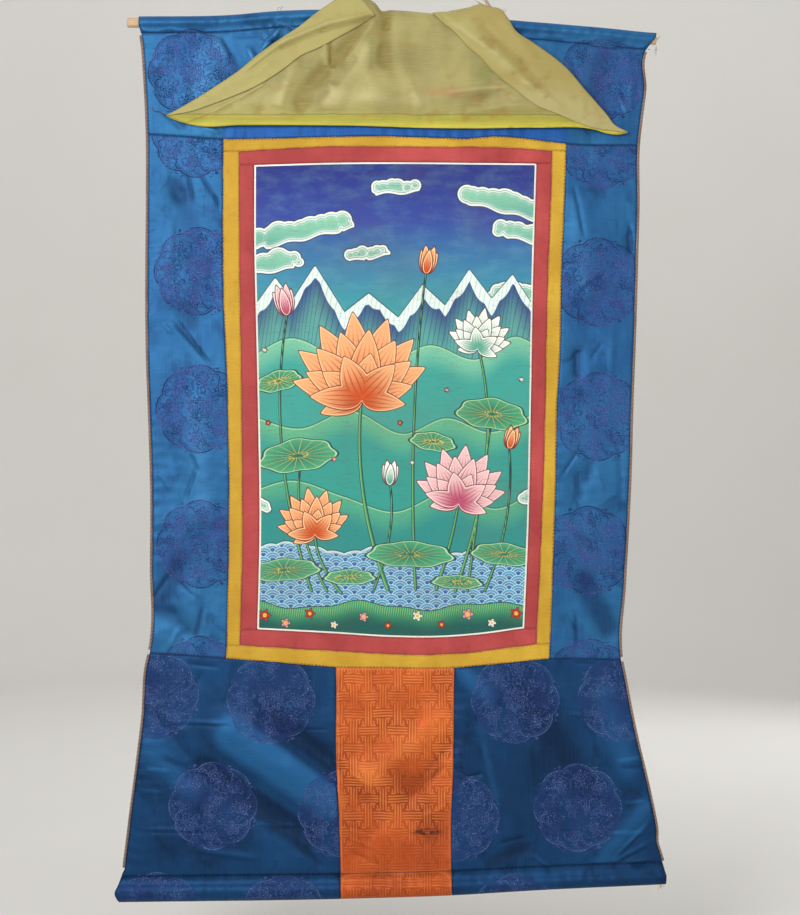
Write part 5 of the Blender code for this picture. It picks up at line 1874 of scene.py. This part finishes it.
def painted_land(finish, x, y, base):
    """Peaks with snow, three rolling hills, the pond and its near bank."""
    peak, snow, _ = numbers(finish, "peaks")
    rock = finish.mix(peak.step(0.0, 46.0), "#33407F", "#5BA39B")
    streak = (x / 5.2 + snow / 26).fraction().band(0.5, 0.09)
    snowy = finish.mix(streak * 0.5, "#E3F0E8", "#8FBFC4")
    rock = finish.coats(rock, (
        (streak * 0.5, "#222C60"),
        (snow.step(0.4, -0.4), snowy),
        (snow.band(0.0, 0.4) * 0.7, "#5A86A0")))
    base = layer_on(finish, base, peak, rock, OUTLINE)
    shades = (("#7CC2A0", "#3FA094"), ("#66B48A", "#37988C"), ("#56A884", "#2F8C86"))
    first = numbers(finish, "hills")
    for edge, (top, foot) in zip(first, shades):
        grass = finish.mix(edge.step(0.0, 34.0), top, foot)
        tuft = finish.noise(x / 1.4, y / 3.2, 2.0).step(0.6, 0.68)
        grass = finish.mix(tuft * edge.step(24.0, 2.0) * 0.4, grass, "#1E5F58")
        rim = edge.band(1.7, 0.5)
        grass = finish.mix(rim * 0.7, grass, "#B9DDA8")
        base = layer_on(finish, base, edge, grass, "#1F5450", 0.45)
    pond, bank, _ = numbers(finish, "pond")
    wave = scale_waves(finish, x, y)
    water = finish.mix(wave / WAVE_RADIUS, "#2C4E9E", "#58A9C4")
    ring = finish.most(wave.band(10.2, 0.4), wave.band(7.2, 0.3), wave.band(4.4, 0.3))
    water = finish.coats(water, (
        (ring * 0.8, "#DCEBE6"),
        (pond.step(5.0, 1.0) * 0.8, "#D4EADF")))
    base = layer_on(finish, base, pond, water, OUTLINE)
    soil = finish.mix(bank.step(0.0, 26.0), "#3F9A6C", "#1E5B54")
    blade = (x / 2.6 + bank / 19).fraction().band(0.5, 0.13)
    soil = finish.mix(blade * bank.step(16.0, 3.0) * 0.7, soil, "#A9CF7A")
    return layer_on(finish, base, bank, soil, OUTLINE)


def painted_clouds(finish, base, group):
    """Cloud banks: white rims, mint bodies and two inner scallop lines."""
    edge, low, _ = numbers(finish, f"clouds_{group}")
    body = finish.mix(edge.step(1.0, 9.0), "#EEF5EC", "#8CC9A8")
    lines = finish.most(edge.band(3.1, 0.3), edge.band(5.6, 0.3) * 0.7)
    body = finish.coats(body, (
        (low * edge.step(2.0, 8.0) * 0.6, "#3E9A96"),
        (lines * 0.75, "#2F6F78")))
    return layer_on(finish, base, edge, body, OUTLINE, 0.6)


def painted_plants(finish, base):
    """Stems, leaves in two groups, and six groups of petals from the back to the front."""
    edge, way, side = numbers(finish, "stems")
    green = finish.mix(side.step(-0.8, 0.8), "#7FBF72", "#1F6B50")
    base = layer_on(finish, base, edge, green, OUTLINE, 0.4)
    for group in (1, 0):
        edge, far, vein = numbers(finish, f"leaves_{group}")
        green = finish.mix(far, "#1C6A56", "#4FA97C")
        line = vein.band(0.0, 0.28) * far.step(0.08, 0.16)
        green = finish.mix(line * 0.8, green, "#D8C35E")
        green = finish.mix(edge.band(1.5, 0.45) * 0.8, green, "#CFE5B0")
        base = layer_on(finish, base, edge, green, OUTLINE)
    hue = finish.mark("flower_hue")
    rose, pale = hue.step(0.2, 0.4), hue.step(0.6, 0.9)
    palette = {}
    for part, tones in (("root", ("#CF5320", "#B9506E", "#5FA890")),
                        ("tip", ("#F3AE78", "#F2C3C2", "#EEF4E6")),
                        ("vein", ("#B23C16", "#A03A5C", "#3E8A80")),
                        ("rim", ("#FBD9A8", "#FBE6E0", "#FFFFFF"))):
        orange, pink, white = tones
        palette[part] = finish.mix(pale, finish.mix(rose, orange, pink), white)
    for group in range(PETAL_GROUPS):
        edge, way, side = numbers(finish, f"petals_{group}")
        skin = finish.mix(way.step(0.08, 0.85), palette["root"], palette["tip"])
        vein = (side * 2.5).fraction().band(0.5, 0.11)
        vein = vein * way.step(0.95, 0.5) * edge.step(0.8, 1.6)
        skin = finish.mix(vein * 0.75, skin, palette["vein"])
        skin = finish.mix(edge.band(1.25, 0.4) * 0.85, skin, palette["rim"])
        base = layer_on(finish, base, edge, skin, "#5E1E22", 0.5)
    return base


def painted_sprigs(finish, base):
    """Small flowers with a yellow eye, in red, pink and white."""
    edge, far, hue = numbers(finish, "sprigs")
    tone = finish.mix(hue.step(0.3, 0.5), "#B83A34", "#E59AA0")
    tone = finish.coats(tone, (
        (hue.step(0.7, 0.8), "#F1F0E2"),
        (far.band(0.55, 0.07) * 0.6, "#7A2430"),
        (far.step(0.36, 0.28), "#E8B93A")))
    return layer_on(finish, base, edge, tone, OUTLINE, 0.45)


def canvas_paint():
    """Mineral paint on primed cotton: the design, brush unevenness, flakes and lamp smoke."""
    finish = Finish("painted_canvas", Specular_IOR_Level=0.25)
    x, y = finish.map("cloth")
    reverse = finish.mark("reverse")
    rim = finish.mark("rim")
    sky = finish.node("ValToRGB", {"stops": (
        (0.0, "#262F7C"), (0.12, "#33479A"), (0.24, "#3C84A4"),
        (0.36, "#3FA79B"), (0.7, "#46AEA0"), (1.0, "#2F9488"))},
        {0: (y - PICTURE_HEAD) / PICTURE_HEIGHT})
    brush = finish.noise(x / 30, y / 15, 2.0, detail=5, rough=0.6)
    base = finish.mix(brush.step(0.4, 0.75) * 0.12, sky, "#8FCCC0")
    base = painted_clouds(finish, base, 0)
    base = painted_land(finish, x, y, base)
    base = painted_clouds(finish, base, 1)
    base = painted_plants(finish, base)
    base = painted_sprigs(finish, base)
    smoke = finish.noise(x / 70, y / 90, 4.0, detail=4)
    flake = finish.noise(x / 2.2, y / 1.5, 6.0, detail=4, rough=0.65).step(0.7, 0.74)
    flake = flake * finish.noise(x / 26, y / 40, 8.0, detail=2).step(0.45, 0.7)
    crack = finish.noise(x / 60, y / 5, 9.0, detail=3).band(0.5, 0.006)
    weave = finish.noise(x / 0.8, y / 0.8, 12.0)
    raw = finish.mix(smoke, "#A8997C", "#CFC3A6")
    base = finish.coats(base, (
        (rim.step(2.7, 2.3), "#EFEBDF"),
        (rim.step(0.9, 0.4), "#7A3A36"),
        (smoke.step(0.4, 0.75) * 0.18, "#6F6048"),
        (flake * 0.5, "#D9CDB0"),
        (crack * 0.3, "#54503F")))
    tide = finish.noise(x / 55, y / 70, 17.0, detail=3, curl=0.8)
    raw = finish.coats(raw, (
        (0.1, base),
        (tide.step(0.6, 0.63) * 0.1, "#8A7048"),
        (tide.band(0.615, 0.008) * 0.22, "#6E5432"),
        (weave.step(0.5, 0.7) * 0.16, "#7E6E50"),
        (rim.step(9.0, 7.0) * 0.3, "#D8CDB2"),
        (rim.band(8.2, 0.4) * 0.5, "#6A5A40")))
    base = finish.mix(reverse, base, raw)
    finish.bump(weave * 0.06 + flake * -0.05 + finish.noise(x / 9, y / 9, 3.0) * 0.2)
    return finish.show(Base_Color=base, Roughness=0.66 + smoke * 0.18)


# %% Canvas with a fine painted face and a coarser back
CANVAS_CELLS = (196, 340)
BACK_STEP = 4

across, drop = stretch(*PICTURE_RAILS, *(np.linspace(0, 1, cells + 1) for cells in CANVAS_CELLS))
points = place(across, silk_depth(across, drop, PICTURE_RAILS, 17, 0.35) + 0.2, drop)
marks = picture_marks(across, drop)
marks["rim"] = seam_distance(across, drop, PICTURE_RAILS)
canvas = sheet("canvas_cloth", points, CLOTH, canvas_paint(),
               {"cloth": np.stack([across, drop], axis=-1)}, marks, BACK_STEP)
sew(canvas, "painting_canvas", "painted_canvas")
print("paint nodes:", len(canvas.data.materials[0].node_tree.nodes))

# %% [markdown]
# ## Thread, stitches and loose ends
#
# The cloth is sewn by hand, with long stitches under the sleeves and slanting ones over the
# edge of the yellow silk. The cord is tied with a small knot at each lashing, and old cotton
# frays there. A thread here is a thin round tube that ends in a point. A whole row of them
# is one mesh, so hundreds of stitches cost little.


# %% Threads from lines
ODD_WAY = (0.31, 0.77, 0.56)


def thread_rings(line, radius, sides, blunt):
    """Rings round a line in metres; a blunt thread keeps its radius nearly to the end.

    No thread runs along ODD_WAY, so it always helps to find a direction square to the line.
    """
    ahead = unit(np.gradient(line, axis=0))
    first = unit(np.cross(ahead, ODD_WAY))
    second = np.cross(ahead, first)
    turn = np.linspace(0, 2 * math.pi, sides, endpoint=False)[None, :, None]
    way = np.linspace(0, 1, len(line))
    size = radius * MM * np.clip(np.minimum(way, 1 - way) * blunt, 0.3, 1)
    around = first[:, None] * np.cos(turn) + second[:, None] * np.sin(turn)
    return line[:, None] + size[:, None, None] * around


def threads(name, lines, radius, finish, nodes, slot, sides=5, blunt=4.0):
    """One piece of many threads that ride with the mount and stand for parts of its nodes."""
    points, walls, caps, count = [], [], [], 0
    for line in lines:
        cloth, wall, cap = tube_parts(thread_rings(line, radius, sides, blunt), count)
        points.append(cloth)
        walls.append(wall)
        caps.append(cap)
        count += len(cloth)
    piece = add_piece(name, np.concatenate(points), [np.concatenate(walls),
                      np.concatenate(caps)], finish)
    dress(piece, slot, *nodes)
    print(f"{name}: {len(lines)} threads, {len(piece.data.polygons) * 2} triangles")


def sewing_thread(name, pale, dark):
    """Plain twisted thread with fine slanting fibres."""
    finish = Finish(name, Specular_IOR_Level=0.2)
    x, y, z = finish.object_place()
    fibre = finish.noise(x / 0.4 + z / 0.4, y / 0.4, z / 0.9, detail=2)
    finish.bump(fibre * 0.1)
    tone = finish.mix(fibre, dark, pale)
    return finish.show(Base_Color=tone, Roughness=0.7 + fibre * 0.2)


def on_cloth(across, drop, sides, seed, proud=0.35):
    """Points that lie on the front of a piece of the mount."""
    return place(across, silk_depth(across, drop, sides, seed) - CLOTH / 2 - proud, drop)


# %% Stitch rows under the sleeves and round the yellow silk
def running_stitches(line, first, last, sides, seed, pitch=5.0, long=3.0):
    """Stitches along a line over across, a little uneven in place and slant."""
    pick = np.random.default_rng(seed)
    rows = []
    for start in np.arange(first, last, pitch):
        across = start + pick.normal(0, 0.35) + np.linspace(0, long, 5)
        slant = pick.normal(0, 0.25)
        drop = line(across) + slant * np.linspace(-1, 1, 5)
        rise = np.array([-0.35, 0.1, 0.3, 0.1, -0.35])
        rows.append(on_cloth(across, drop, sides, seed, rise))
    return rows


navy_thread = sewing_thread("navy_thread", "#2E4A7C", "#101C38")
gold_thread = sewing_thread("gold_thread", "#8C6A28", "#3E2C12")
LOWER_SIDES = [(row[3], row[4], follow(LOWER_SEAM), bottom_line) for row in LOWER_PANELS]
threads("heading_stitches", running_stitches(top_line, -294, 290, HEADING_RAILS, 13), 0.32,
        navy_thread, ["top_panel"], "blue_brocade")
for (name, node, slot, *_, seed), sides, (first, last) in zip(
        LOWER_PANELS, LOWER_SIDES, ((-314, -74), (-66, 56), (64, 298))):
    threads(f"{name}_stitches", running_stitches(bottom_line, first, last, sides, seed), 0.32,
            navy_thread, [node], slot)


def edge_stitches(sides, seed, pitch=4.2):
    """Slanting stitches over all four outer edges of the yellow silk."""
    left, right, top, bottom = sides
    pick = np.random.default_rng(seed)
    share = np.linspace(-1, 1, 5)
    rise = np.array([-0.3, 0.05, 0.25, 0.05, -0.3])
    rows = []
    for edge, inwards in ((left, 1), (right, -1)):
        for start in np.arange(264, 854, pitch) + pick.normal(0, 0.3):
            drop = start + 0.8 * share
            rows.append((edge(drop) + inwards * (0.6 + 1.1 * share), drop))
    for edge, inwards in ((top, 1), (bottom, -1)):
        for start in np.arange(-198, 172, pitch) + pick.normal(0, 0.3):
            across = start + 0.8 * share
            rows.append((across, edge(across) + inwards * (0.6 + 1.1 * share)))
    return [on_cloth(across, drop, sides, seed, rise) for across, drop in rows]


threads("yellow_edge_stitches", edge_stitches(YELLOW_RAILS, 20), 0.3, gold_thread,
        [f"outer_border_{side}" for side in ("top", "bottom", "left", "right")], "yellow_silk")


# %% Knots, frayed cotton and pulled threads
def knot_line(foot, turns=2.3, wide=2.5, count=60):
    """A coil of cord round the hanging cord's foot."""
    start = np.array([foot, lashing_top(foot) - CORD_CLEAR - 0.5])
    ahead = unit(np.array([LOOP_ACROSS, 0.0]) - start)
    turn = np.linspace(0, turns * 2 * math.pi, count)
    spot = start[:, None] + ahead[:, None] * turn * 0.38
    across = spot[0] - ahead[1] * wide * np.cos(turn)
    drop = spot[1] + ahead[0] * wide * np.cos(turn)
    return place(across, ROD_DEPTH + wide * np.sin(turn), drop)


def strand(start, bend, end, count=16):
    """A loose strand on a quadratic curve through (across, depth, drop) places."""
    t = np.linspace(0, 1, count)
    return place(*(bow(*ends, t) for ends in zip(start, bend, end)))


def frayed(start, toward, seed, count, spread, shortest=0.5):
    """A tuft of strands from about one place towards another."""
    pick = np.random.default_rng(seed)
    start, toward = np.array(start, float), np.array(toward, float)
    tuft = []
    for _ in range(count):
        reach = start + (toward - start) * pick.uniform(shortest, 1.0)
        end = reach + pick.normal(0, spread, 3)
        bend = (start + end) / 2 + pick.normal(0, spread * 0.9, 3)
        tuft.append(strand(start + pick.normal(0, 0.8, 3), bend, end))
    return tuft


for side, foot in LASHINGS:
    threads(f"cord_knot_{side}", [knot_line(foot)], 1.15, cotton_cord,
            [f"cord_lashing_{side}"], "pale_cotton_cord", 10, 30.0)
loose = frayed((109, -0.5, 114), (88, -2.5, 94), 51, 15, 3.4)
loose += frayed((112, -0.5, 114), (122, -1.0, 110), 52, 5, 2.0)
threads("frayed_cord_ends", loose, 0.42, cotton_cord, ["cord_lashing_right"],
        "pale_cotton_cord")
tufts = frayed((295, 0.5, 146), (301, -1.0, 136), 53, 5, 1.6)
tufts += frayed((295, -1.5, 152), (297, -2.0, 166), 54, 4, 1.2)
threads("frayed_heading_corner", tufts, 0.28, cotton_cord, ["top_panel"], "blue_brocade")
threads("frayed_foot_corner", frayed((300, -4, 1117), (303, -6, 1123), 55, 6, 1.8), 0.28,
        cotton_cord, ["lower_panel_right"], "dark_blue_brocade")

PULLED = (
    ((-139, 133), (-146, 138), (-160, 152)), ((-143, 132), (-156, 134), (-163, 146)),
    ((-128, 131), (-136, 136), (-140, 150)), ((-120, 130), (-130, 129), (-137, 134)),
)
share = np.linspace(0, 1, 20)
pulled = []
for run in PULLED:
    line = along(run, share)
    pulled.append(on_cloth(line[:, 0], line[:, 1], HEADING_RAILS, 13,
                           0.1 + 0.5 * np.sin(math.pi * share)))
pulled.append(strand((-138, -2.0, 112), (-137, -3.0, 104), (-133.5, -1.0, 107)))
pulled.append(strand((-140, -3.0, 113), (-142, -5.0, 106), (-138, -4.0, 108)))
light_thread = sewing_thread("pulled_blue_thread", "#6FA4CE", "#2E6698")
threads("pulled_threads", pulled, 0.3, light_thread, ["top_panel"], "blue_brocade")
tie = along(((-266, 233), (-272, 231), (-278, 227), (-284, 226), (-286, 221)), share)
tie_line = on_cloth(tie[:, 0], tie[:, 1], HEADING_RAILS, 13, 0.5 + 3.5 * (1 - share) ** 2)
threads("veil_tip_thread", [tie_line], 0.45, sewing_thread("dark_red_thread", "#7A3A34",
        "#3A1618"), ["veil"], "red_silk", 8, 12.0)
